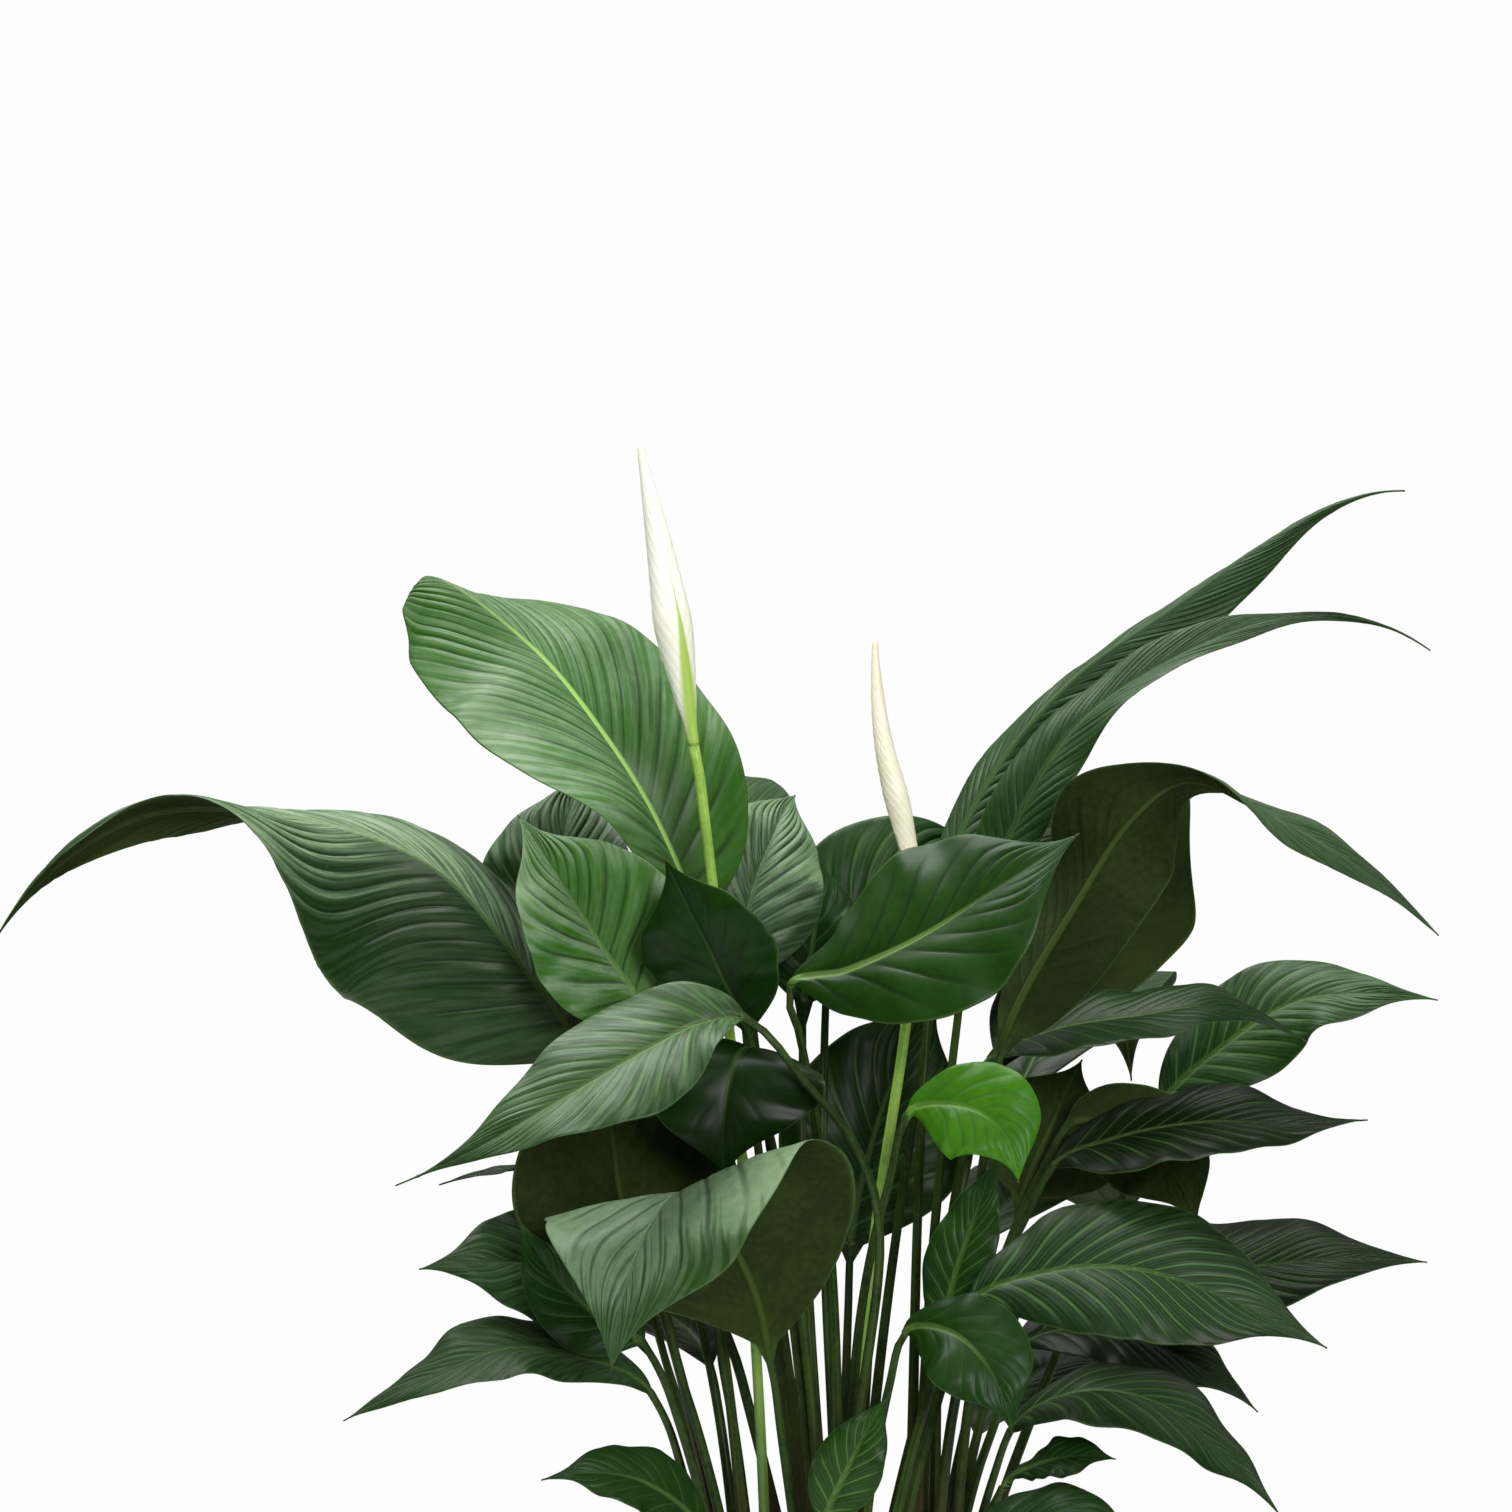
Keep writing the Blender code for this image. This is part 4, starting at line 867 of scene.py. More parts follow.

# %% [markdown]
# The stalk's rings and the blade's rings have the same number of points, so one skin runs over both. What
# the finish has to know of a leaf, such as its age and how much shade and sheen are painted on it, is
# written on every point.

# %% Join a stalk and its blade
def make_leaf(name, material):
    """A whole leaf: its stalk's rings carry on as its blade's, so it is one closed mesh."""
    plan, style = LEAVES[name], LOOKS[name]
    rng = np.random.default_rng(sum(map(ord, name)))
    points, tangents = STALKS[name]
    blade_rings, blade_mark, vein_mark, columns = blade(plan, style, tangents[-1], rng)
    stalk_rings, stalk_mark, stalk_vein = stalk((points, tangents), plan["face"][0], columns)
    rings = np.concatenate([stalk_rings, blade_rings])
    marks = {
        "blade": np.concatenate([stalk_mark, blade_mark]),
        "vein": np.concatenate([stalk_vein, vein_mark]),
    }
    for mark, keys in (("tint", ("tone", "rib", "veins")), ("bloom_and_sheen", ("bloom_and_sheen",) * 3)):
        marks[mark] = np.broadcast_to([style[key] for key in keys], rings.shape)
    return stand_in_scene(name, skin(name, rings, **marks), material, "leaf", name)


print("leaves to make:", len(LEAVES))

# %% [markdown]
# ## Shader groups that the finishes share
#
# Live tissue, fired clay and soil all vary in colour over a few millimetres and over a few centimetres.
# The group called mottle mixes two colours by noise at two scales. The group called leaf lines turns
# the marks on a leaf's mesh into masks for its rib, veins, painted sheen streaks, margin, stalk and tip.
# Groups put out only colours and masks, so each finish keeps its own shader.

# %% Node helpers
def put(tree, sockets, key, value):
    """Links a socket to an input, or sets the input to a value; three numbers are a colour there."""
    if isinstance(value, bpy.types.NodeSocket):
        tree.links.new(value, sockets[key])
    elif isinstance(value, tuple):
        sockets[key].default_value = (*value, 1)
    else:
        sockets[key].default_value = value


def node(tree, kind, inputs=(), **settings):
    """A node with its settings, and each input linked to a socket or set to a value."""
    made = tree.nodes.new(kind)
    for key, value in settings.items():
        setattr(made, key, value)
    for key, value in dict(inputs).items():
        put(tree, made.inputs, key, value)
    return made


def sums(tree, operation, *values):
    """The result of one Math node."""
    return node(tree, "ShaderNodeMath", dict(enumerate(values)), operation=operation).outputs[0]


def product(tree, first, second):
    return sums(tree, "MULTIPLY", first, second)


def parts(tree, vector):
    """The three numbers of a vector."""
    return node(tree, "ShaderNodeSeparateXYZ", {0: vector}).outputs


def noisy(tree, where, scale, detail):
    """Smooth noise from 0 to 1."""
    steps = {"Vector": where, "Scale": scale, "Detail": detail}
    return node(tree, "ShaderNodeTexNoise", steps).outputs["Fac"]


def ramp(tree, value, low, high, to_low=0.0, to_high=1.0):
    """value eased from to_low at low to to_high at high."""
    steps = {"Value": value, "From Min": low, "From Max": high, "To Min": to_low, "To Max": to_high}
    return node(tree, "ShaderNodeMapRange", steps, interpolation_type="SMOOTHSTEP").outputs[0]


def fading(tree, value, low, high):
    """1 where value is below low, eased to 0 at high."""
    return ramp(tree, value, low, high, 1.0, 0.0)


def blend(tree, factor, first, second):
    """Two colours mixed by factor."""
    steps = {0: factor, 6: first, 7: second}
    return node(tree, "ShaderNodeMix", steps, data_type="RGBA").outputs[2]

HELPERS = put, node, sums, product, parts, noisy, ramp, fading, blend
print("node helpers:", ", ".join(helper.__name__ for helper in HELPERS))

# %% [markdown]
# A group is built once and placed in each material with its own values. Its sockets are named first, and
# then its nodes are wired from the input side to the output side.

# %% Shader groups
def new_group(name, inputs, outputs):
    """(tree, its inputs, its outputs) of an empty node group with these sockets."""
    tree = bpy.data.node_groups.new(name, "ShaderNodeTree")
    for way, sockets in (("INPUT", inputs), ("OUTPUT", outputs)):
        for key, kind in sockets.items():
            tree.interface.new_socket(name=key, in_out=way, socket_type="NodeSocket" + kind)
    return tree, tree.nodes.new("NodeGroupInput").outputs, tree.nodes.new("NodeGroupOutput").inputs


def mottle_group():
    inputs = dict(Place="Vector", Light="Color", Dark="Color", Coarse="Float", Fine="Float")
    tree, given, out = new_group("mottle", inputs, dict(Color="Color", Patches="Float", Grain="Float"))
    patches = noisy(tree, given["Place"], given["Coarse"], 3.0)
    grain = noisy(tree, given["Place"], given["Fine"], 2.0)
    both = sums(tree, "MULTIPLY_ADD", grain, 0.35, product(tree, patches, 0.65))
    put(tree, out, "Color", blend(tree, ramp(tree, both, 0.36, 0.64), given["Dark"], given["Light"]))
    put(tree, out, "Patches", patches)
    put(tree, out, "Grain", grain)
    return tree


def leaf_lines_group():
    """Masks from two marks: how far across and along the blade, and how far from the rib in millimetres."""
    masks = "Rib", "Side veins", "Fine veins", "Streaks", "Margin", "Stalk", "Tip"
    inputs = dict(Blade="Vector", Vein="Vector")
    tree, given, out = new_group("leaf lines", inputs, dict.fromkeys(masks, "Float"))
    across_blade, along, phase = parts(tree, given["Blade"])
    share = sums(tree, "ABSOLUTE", across_blade)
    rib_edge = ramp(tree, along, 0.0, 1.0, 2.6, 0.7)
    rib = fading(tree, sums(tree, "DIVIDE", parts(tree, given["Vein"])[0], rib_edge), 0.45, 1.0)
    put(tree, out, "Rib", product(tree, rib, ramp(tree, along, 0.4, 0.75, 1.0, 0.15)))
    inner = product(tree, fading(tree, share, 0.55, 0.97), ramp(tree, along, 0.0, 0.06))
    main = fading(tree, sums(tree, "PINGPONG", phase, 0.5), 0.02, 0.14)
    put(tree, out, "Side veins", product(tree, main, inner))
    fine = fading(tree, sums(tree, "PINGPONG", product(tree, phase, 4.0), 0.5), 0.05, 0.35)
    put(tree, out, "Fine veins", product(tree, fine, inner))
    # Noise drawn out along the veins marks where the painted sheen streaks lie.
    stretched = {0: product(tree, across_blade, 2.0), 1: product(tree, phase, 4.5)}
    drawn = node(tree, "ShaderNodeCombineXYZ", stretched).outputs[0]
    put(tree, out, "Streaks", ramp(tree, noisy(tree, drawn, 1.0, 3.0), 0.36, 0.62))
    put(tree, out, "Margin", ramp(tree, share, 0.955, 1.0))
    put(tree, out, "Stalk", fading(tree, along, 0.0, 0.05))
    put(tree, out, "Tip", ramp(tree, along, 0.97, 0.995))
    return tree


MOTTLE = mottle_group()
LEAF_LINES = leaf_lines_group()
print("shader groups:", MOTTLE.name, "and", LEAF_LINES.name)

# %% [markdown]
# A finish is one material with one Principled shader. What is the same all over it is set on the shader's
# own sockets, and what changes over the surface comes from the groups.

# %% Finish helpers
def new_finish(name, roughness, **constants):
    """(material, tree) of a finish; constants are set straight on the shader's sockets."""
    material = bpy.data.materials.new(name)
    material.use_nodes = True
    shader = material.node_tree.nodes["Principled BSDF"]
    for key, value in dict(constants, Roughness=roughness).items():
        shader.inputs[key.replace("_", " ")].default_value = value
    return material, material.node_tree


def finished(material, colour, rough=None, height=None, distance=0.0, strength=1.0, wax=None):
    """Links what changes over the surface to the shader, and gives the material back."""
    tree = material.node_tree
    shader = tree.nodes["Principled BSDF"].inputs
    links = {"Base Color": colour, "Roughness": rough, "Coat Weight": wax}
    if height is not None:
        steps = {"Height": height, "Distance": distance, "Strength": strength}
        links["Normal"] = node(tree, "ShaderNodeBump", steps).outputs[0]
    for key, value in links.items():
        if value is not None:
            put(tree, shader, key, value)
    return material


def marked(tree, name):
    """The numbers that the mesh carries under this name."""
    return node(tree, "ShaderNodeAttribute", attribute_name=name).outputs["Vector"]


def placed(tree):
    return node(tree, "ShaderNodeTexCoord").outputs["Object"]


def mottle(tree, light, dark, coarse, fine):
    """Two colours mixed by noise that repeats about this many times a metre, coarse and fine."""
    steps = {"Place": placed(tree), "Light": light, "Dark": dark, "Coarse": coarse, "Fine": fine}
    return node(tree, "ShaderNodeGroup", steps, node_tree=MOTTLE).outputs

# %% [markdown]
# ## The leaf's finish
#
# The upper side is dark, waxy green, with a paler rib, and side veins whose creases are painted dark with
# shade on some leaves and show as fine light lines on others. A grey lies in streaks, strongest where the
# blade faces up: it is partly wax bloom and partly painted sheen and highlight. Old leaves are a dark
# green, which also paints the shade on leaves that stand in shade. The underside is duller and more olive,
# and has hardly any shine. Young leaves are a bright yellow-green. One finish serves all the leaves: the
# marks on each mesh say how old it is, how much shade and sheen are painted on it, and which side is which.

# %% Leaf finish
# The darkest green is that of old leaves, and it also paints the shade on leaves that stand in shade.
OLD_AND_SHADE_GREEN = (0.0030, 0.0105, 0.0014), (0.0018, 0.0065, 0.0009)
MATURE_GREEN = (0.0075, 0.034, 0.0022), (0.0045, 0.022, 0.0014)
FRESH_GREEN = (0.042, 0.165, 0.004), (0.027, 0.12, 0.003)
GREY_BLOOM_AND_SHEEN = (0.150, 0.220, 0.125), (0.095, 0.160, 0.080)
CREASE_SHADE_GREEN = (0.004, 0.014, 0.003)
PALE_VEIN, FRESH_VEIN = (0.10, 0.19, 0.075), (0.15, 0.42, 0.05)
RIB_GREEN = (0.30, 0.50, 0.13)
UNDERSIDE = (0.020, 0.035, 0.0055), (0.010, 0.019, 0.003)
UNDER_VEIN, UNDER_RIB = (0.010, 0.020, 0.005), (0.045, 0.075, 0.016)
MARGIN_GREEN = (0.09, 0.17, 0.05)
TIP_BROWN = (0.06, 0.035, 0.015)
STALK_GREEN = (0.028, 0.054, 0.009), (0.011, 0.024, 0.0045)
SHEATH_BROWN = (0.045, 0.035, 0.013)
LEAF_WAX = 0.11


def upper_side(tree, lines, mature):
    """The colour of a blade's upper side."""
    tone, rib_pale, vein_pale = parts(tree, marked(tree, "tint"))
    old_and_shade = mottle(tree, *OLD_AND_SHADE_GREEN, 14.0, 260.0)
    fresh = mottle(tree, *FRESH_GREEN, 18.0, 260.0)
    # A low tone blends in the old leaves' dark green, which also stands for painted shade.
    upper = blend(tree, ramp(tree, tone, 0.1, 0.5), old_and_shade["Color"], mature["Color"])
    upper = blend(tree, ramp(tree, tone, 0.45, 1.0), upper, fresh["Color"])
    # This grey is partly wax bloom and partly painted sheen, laid on as painted highlight streaks.
    bloom_and_sheen_grey = mottle(tree, *GREY_BLOOM_AND_SHEEN, 9.0, 180.0)
    up_facing_for_sheen = parts(tree, node(tree, "ShaderNodeTexCoord").outputs["Normal"])[2]
    # Blades that face up get more of the painted sheen, as the light falls on them from above.
    bloom_and_sheen = product(tree, parts(tree, marked(tree, "bloom_and_sheen"))[0], ramp(tree, up_facing_for_sheen, 0.0, 0.9, 0.12, 1.0))
    # The grey follows the painted sheen streaks.
    bloom_and_sheen = product(tree, bloom_and_sheen, sums(tree, "MULTIPLY_ADD", lines["Streaks"], 0.75, 0.25))
    upper = blend(tree, bloom_and_sheen, upper, bloom_and_sheen_grey["Color"])
    # Side veins that are not pale are painted as dark creases: painted shade in the grooves between the
    # ridges.
    crease_shade = product(tree, lines["Side veins"], ramp(tree, vein_pale, 0.0, 0.3, 0.6, 0.0))
    upper = blend(tree, crease_shade, upper, CREASE_SHADE_GREEN)
    vein_colour = blend(tree, tone, PALE_VEIN, FRESH_VEIN)
    upper = blend(tree, product(tree, lines["Side veins"], vein_pale), upper, vein_colour)
    fine = product(tree, product(tree, lines["Fine veins"], vein_pale), 0.3)
    upper = blend(tree, fine, upper, vein_colour)
    return blend(tree, product(tree, lines["Rib"], rib_pale), upper, RIB_GREEN)

print("leaf colours: old", OLD_AND_SHADE_GREEN[0], "fresh", FRESH_GREEN[0])

# %% [markdown]
# The finish then lays the upper side over the underside by the mark that tells them apart, and adds the
# margin, the dry tip and the stalk. The underside is rougher and has no wax.

# %% Build the leaf finish and the leaves
def leaf_finish():
    material, tree = new_finish("leaf", 0.35, Coat_Roughness=0.34, IOR=1.4, Specular_IOR_Level=0.11)
    marks = {"Blade": marked(tree, "blade"), "Vein": marked(tree, "vein")}
    lines = node(tree, "ShaderNodeGroup", marks, node_tree=LEAF_LINES).outputs
    under = parts(tree, marked(tree, "vein"))[2]
    mature = mottle(tree, *MATURE_GREEN, 14.0, 260.0)
    dull = mottle(tree, *UNDERSIDE, 16.0, 300.0)
    below = blend(tree, product(tree, lines["Side veins"], 0.35), dull["Color"], UNDER_VEIN)
    below = blend(tree, product(tree, lines["Rib"], 0.6), below, UNDER_RIB)
    colour = blend(tree, under, upper_side(tree, lines, mature), below)
    colour = blend(tree, product(tree, lines["Margin"], 0.3), colour, MARGIN_GREEN)
    colour = blend(tree, product(tree, lines["Tip"], 0.75), colour, TIP_BROWN)
    along = parts(tree, marked(tree, "blade"))[1]
    fibre = mottle(tree, *STALK_GREEN, 30.0, 320.0)
    stem = blend(tree, ramp(tree, along, -0.95, -0.55), SHEATH_BROWN, fibre["Color"])
    colour = blend(tree, lines["Stalk"], colour, stem)
    rough = sums(tree, "MULTIPLY_ADD", mature["Patches"], 0.2, 0.3)
    rough = sums(tree, "ADD", rough, product(tree, under, 0.3))
    wax = product(tree, sums(tree, "SUBTRACT", 1.0, under), LEAF_WAX)
    height = sums(tree, "MULTIPLY_ADD", lines["Fine veins"], -0.6, mature["Grain"])
    return finished(material, colour, rough, height, 0.00006, 0.6, wax)


LEAF_FINISH = leaf_finish()
LEAF_PIECES = [make_leaf(name, LEAF_FINISH) for name in LEAVES]
print("leaf faces:", sum(len(piece.data.polygons) for piece in LEAF_PIECES))

# %% [markdown]
# ## The furled flowers
#
# A spathe is a leaf turned pale, rolled round the spadix a little more than once. It is made as a real
# rolled sheet: a ring runs along the outside of the roll and back along its inside, so the free edge
# shows as a step. Fine veins sweep from its midrib towards the tip, as they do on a leaf. The scape,
# the flower's stalk, is a plain rod that flares a little at its foot.

# %% Shape the flowers
SPATHE_WALL = 0.0007
SPATHE_LAP = 0.0013
SPATHE_TURNS = 1.2
SPATHE_FULL_AT = 0.42
SPATHE_TIP_RADIUS = 0.0004
SPATHE_ROWS = 110
SPATHE_AROUND = 72
SPATHE_VEINS = 16
SPATHE_VEIN_HEIGHT = 0.00022
SPATHE_OVER_SCAPE = 0.0008
CLASP_RADIUS = 1.04 * SCAPE_RADIUS
SPATHE_RIB = 0.0005


def flower_axis(flower):
    """(points, tangents) of the spathe's middle line, which carries on from its stalk."""
    path = [place(p) for p in flower["path"]]
    along = unit(path[-1] - path[-2])
    points = [path[-1] + FIT_GAP * along, *(place(p) for p in flower["axis"])]
    tangents = chord_tangents(points)
    tangents[0] = along
    return points, tangents


def spathe_inner_radius(t, flower):
    """The furled spathe's inner radius at t of its length: close round its stalk, full, then drawn out."""
    full = flower["width"] * CM / 2 - SPATHE_WALL - SPATHE_LAP * SPATHE_TURNS
    foot = SCAPE_RADIUS - SPATHE_WALL
    left_over = np.clip(1 - (t - SPATHE_FULL_AT) / (1 - SPATHE_FULL_AT), 0, 1)
    drawn = SPATHE_TIP_RADIUS + (full - SPATHE_TIP_RADIUS) * left_over**0.9
    return np.where(t < SPATHE_FULL_AT, foot + (full - foot) * smooth(0, SPATHE_FULL_AT, t), drawn)


def spathe_mesh(name, flower):
    """The rolled sheet: out along its outer face from its lap, and back along its inner face."""
    points, tangents = flower_axis(flower)
    t = np.linspace(0, 1, SPATHE_ROWS)[:, None]
    centre, along = along_curve(points, tangents, t)
    up = across((0, -1, 0), along)
    side = np.cross(along, up)
    share = np.linspace(0, 1, SPATHE_AROUND + 1)[None]
    angle = math.tau * SPATHE_TURNS * share + np.radians(flower["lap_at"] + flower["twist"] * t)
    out = np.cos(angle)[..., None] * side + np.sin(angle)[..., None] * up
    fine = 1 - 0.45 * t
    from_rib = np.abs(share - 0.5) * 2
    phase = SPATHE_VEINS * (t - flower["lean"] * 0.3 * from_rib)
    groove = SPATHE_VEIN_HEIGHT * np.abs(np.sin(math.pi * phase)) ** 0.7 * smooth(0.04, 0.2, from_rib)
    rib = SPATHE_RIB * np.exp(-((from_rib / 0.05) ** 2)) * (1 - smooth(0.3, 0.8, t))
    radius = spathe_inner_radius(t, flower) + SPATHE_LAP * fine * SPATHE_TURNS * share
    radius = radius + groove * smooth(0.02, 0.15, t) * (1 - smooth(0.7, 1, t))
    clasp = smooth(0, 0.14, t)
    radius = CLASP_RADIUS + (radius - CLASP_RADIUS) * clasp
    inner = centre + out * radius[..., None]
    outer = centre + out * (radius + (SPATHE_WALL + rib) * fine * (0.2 + 0.8 * clasp))[..., None]
    for ring in (outer[0], inner[0]):
        ring -= along[0] * SPATHE_OVER_SCAPE
    rings = np.concatenate([outer, inner[:, ::-1]], axis=1)
    flat = np.zeros_like(radius)
    mark = np.stack([from_rib + flat, t + flat, phase + flat], axis=-1)
    return skin(name, rings, furl=np.concatenate([mark, mark[:, ::-1]], axis=1))

print("spathe veins:", SPATHE_VEINS)

# %% [markdown]
# The spadix is a blunt rod whose surface is packed with small florets in two sets of spirals. The scape
# is a rod with faint ridges along it.

# %% Shape the spadix and the scape
FLORETS_AROUND = 8
FLORETS_ALONG = 13
FLORET_HEIGHT = 0.09
SPADIX_START = 0.09
SPADIX_END = 0.58


def rod_rings(points, tangents, t, radius, around):
    """Rings of points on a curve, with radius an array of (rows, around)."""
    centre, along = along_curve(points, tangents, t[:, None])
    up = across((0, -1, 0), along)
    side = np.cross(along, up)
    angle = math.pi - math.tau * np.arange(around) / around
    out = np.cos(angle)[:, None] * side + np.sin(angle)[:, None] * up
    return centre + out * radius[..., None]


def spadix_mesh(name, flower, rows=120, around=48):
    """A blunt rod set with small florets in rising spirals."""
    points, tangents = flower_axis(flower)
    share = np.linspace(0, 1, rows)
    t = SPADIX_START + (SPADIX_END - SPADIX_START) * share
    body = 0.9 * flower["spadix"] * CM / 2 * np.sqrt(np.clip(1 - (2 * share - 1) ** 8, 0.02, 1))
    turn = np.arange(around) / around
    around_part, along_part = FLORETS_AROUND * turn, FLORETS_ALONG * share[:, None]
    florets = np.sin(math.tau * (around_part + along_part)) * np.sin(math.tau * (around_part - along_part))
    radius = body[:, None] * (1 + FLORET_HEIGHT * florets)
    return skin(name, rod_rings(points, tangents, t, radius, around))


def scape_mesh(name, rows=60, around=32):
    """A flower's stalk: a rod with seven faint ridges that is a little thicker at its foot."""
    points, tangents = STALKS[name]
    t = np.linspace(0, 1, rows)
    lines = 0.025 * np.cos(math.tau * 7 * np.arange(around) / around)
    radius = SCAPE_RADIUS * (1 + lines + 0 * t[:, None]) * (1 + 0.12 * (1 - smooth(0, 0.3, t)))[:, None]
    rings = rod_rings(points, tangents, t, radius, around)
    rings[0] -= (0, 0, STALK_IN_CROWN)
    mark = np.zeros(rings.shape) + np.stack([t, t, t], axis=-1)[:, None]
    return skin(name, rings, stem=mark)


print("florets round a spadix:", FLORETS_AROUND)

# %% [markdown]
# The spathe is thin and lets some light through, so its shader has a little subsurface scattering. Its
# green back is a stripe that narrows upwards, drawn by the distance from its midrib.

# %% Flower finishes
SPATHE_COLOURS = {
    "left": ((0.95, 0.95, 0.84), (0.90, 0.89, 0.72)),
    "right": ((0.86, 0.83, 0.64), (0.78, 0.74, 0.52)),
}
SPATHE_VEIN, SPATHE_STRIPE = (0.62, 0.60, 0.36), (0.36, 0.55, 0.09)
SCAPE_GREEN = (0.33, 0.53, 0.085), (0.20, 0.38, 0.050)
SCAPE_FOOT = (0.07, 0.16, 0.03)
SPADIX_CREAM = (0.80, 0.76, 0.48), (0.55, 0.55, 0.22)


def spathe_finish(name, flower, pale, cream):
    """A pale sheet with fine veins, and a green stripe up its back that narrows out of the stalk."""
    softness = dict(Subsurface_Weight=0.12, Subsurface_Scale=0.004, Subsurface_Radius=(1.0, 0.9, 0.5))
    material, tree = new_finish(name, 0.45, **softness)
    from_rib, up, phase = parts(tree, marked(tree, "furl"))
    body = mottle(tree, pale, cream, 40.0, 500.0)
    lines = fading(tree, sums(tree, "PINGPONG", phase, 0.5), 0.0, 0.22)
    colour = blend(tree, product(tree, lines, 0.30), body["Color"], SPATHE_VEIN)
    steps = {"Value": up, "From Max": 0.6, "To Min": 1.0, "To Max": 0.0}
    left_over = node(tree, "ShaderNodeMapRange", steps).outputs[0]
    reach = sums(tree, "MULTIPLY_ADD", sums(tree, "POWER", left_over, 2.6), 0.6, 0.015)
    stripe = fading(tree, sums(tree, "DIVIDE", from_rib, reach), 0.35, 1.0)
    stripe = product(tree, stripe, ramp(tree, up, 0.40, 0.75, flower["stripe"], 0.0))
    stripe = sums(tree, "MAXIMUM", stripe, fading(tree, up, 0.0, 0.1))
    colour = blend(tree, stripe, colour, SPATHE_STRIPE)
    rough = sums(tree, "MULTIPLY_ADD", body["Grain"], 0.2, 0.35)
    return finished(material, colour, rough, body["Grain"], 0.0002, 0.5)


def scape_finish():
    material, tree = new_finish("scape", 0.38, Coat_Roughness=0.25)
    body = mottle(tree, *SCAPE_GREEN, 25.0, 350.0)
    rise = ramp(tree, parts(tree, marked(tree, "stem"))[0], 0.0, 0.75)
    colour = blend(tree, rise, SCAPE_FOOT, body["Color"])
    rough = sums(tree, "MULTIPLY_ADD", body["Patches"], 0.2, 0.28)
    return finished(material, colour, rough, body["Grain"], 0.0002, 0.6)


def spadix_finish():
    material, tree = new_finish("spadix", 0.6)
    body = mottle(tree, *SPADIX_CREAM, 90.0, 900.0)
    return finished(material, body["Color"], None, body["Grain"], 0.0003)


SCAPE_FINISH, SPADIX_FINISH = scape_finish(), spadix_finish()
for hand, flower in FLOWERS.items():
    finish = spathe_finish(f"spathe {hand}", flower, *SPATHE_COLOURS[hand])
    spathe, spadix, scape = f"spathe_{hand}", f"spadix_{hand}", f"scape_{hand}"
    stand_in_scene(spathe, spathe_mesh(spathe, flower), finish, "spathe", spathe)
    stand_in_scene(spadix, spadix_mesh(spadix, flower), SPADIX_FINISH, "spadix", spadix)
    stand_in_scene(scape, scape_mesh(scape), SCAPE_FINISH, "scape", scape)
print("flowers made:", len(FLOWERS))

# %% [markdown]
# ## The pot
#
# A plain clay pot is thrown or pressed as a shape turned about its middle line, so its outline is drawn
# once and spun. The corners of the outline are rounded with short arcs, because fired clay has no sharp
# edge. Three drain holes are cut through its floor with a Boolean, as a potter cuts them.

# %% Turn the pot
POT_TOP_RADIUS = 0.100
POT_BASE_RADIUS = 0.068
POT_WALL = 0.007
POT_FLOOR = 0.010
RIM_HEIGHT = 0.032
RIM_PROUD = 0.004
RIM_ROUND = 0.002
POT_STEPS = 144
OUTLINE_SPACING = 0.006


def pot_radius(z):
    """The pot's outer radius at a height, under its rim."""
    return POT_BASE_RADIUS + (POT_TOP_RADIUS - POT_BASE_RADIUS) * z / POT_TOP


def rounded(outline, radius, steps=5):
    """The outline with each inner corner cut to an arc-like curve of about this radius."""
    done = [np.array(outline[0], float)]
    for before, corner, after in zip(outline, outline[1:], outline[2:]):
        before, corner, after = (np.array(p, float) for p in (before, corner, after))
        reach = min(radius, 0.45 * np.linalg.norm(before - corner), 0.45 * np.linalg.norm(after - corner))
        start, end = corner + unit(before - corner) * reach, corner + unit(after - corner) * reach
        for u in np.linspace(0, 1, steps):
            done.append((1 - u) ** 2 * start + 2 * u * (1 - u) * corner + u * u * end)
    return done + [np.array(outline[-1], float)]


def with_points(outline, spacing):
    """The outline with more points on its long straight stretches."""
    done = [outline[0]]
    for a, b in zip(outline, outline[1:]):
        count = max(1, math.ceil(np.linalg.norm(b - a) / spacing))
        done += [a + (b - a) * (k + 1) / count for k in range(count)]
    return done


def spun(name, outline, steps):
    """A closed mesh of an outline of (radius, height), from the axis at its top round to the axis."""
    bm = bmesh.new()
    turns = [math.tau * k / steps for k in range(steps)]
    rings = []
    for radius, z in outline:
        if radius < 1e-6:
            rings.append([bm.verts.new((0, 0, z))])
        else:
            rings.append([bm.verts.new((radius * math.cos(a), radius * math.sin(a), z)) for a in turns])
    for first, second in zip(rings, rings[1:]):
        for k in range(steps):
            j = (k + 1) % steps
            walk = (first, k), (first, j), (second, j), (second, k)
            corners = [ring[step % len(ring)] for ring, step in walk]
            bm.faces.new(list(dict.fromkeys(corners)))
    bmesh.ops.recalc_face_normals(bm, faces=bm.faces[:])
    mesh = bpy.data.meshes.new(name)
    bm.to_mesh(mesh)
    bm.free()
    mesh.shade_smooth()
    return mesh

print("points round the pot:", POT_STEPS)

# %% [markdown]
# The Boolean's cutter is removed as soon as its hole is cut. Fired clay shows pale salts where damp rises
# from the base, darker damp under the rim, and fine lines from turning.

# %% Finish the pot
HOLE_COUNT = 3
HOLE_RADIUS = 0.006
HOLE_RING = 0.036
HOLE_STEPS = 32
CLAY = (0.62, 0.27, 0.13), (0.47, 0.18, 0.085)
CLAY_SALTS, CLAY_DAMP = (0.72, 0.60, 0.50), (0.36, 0.15, 0.08)


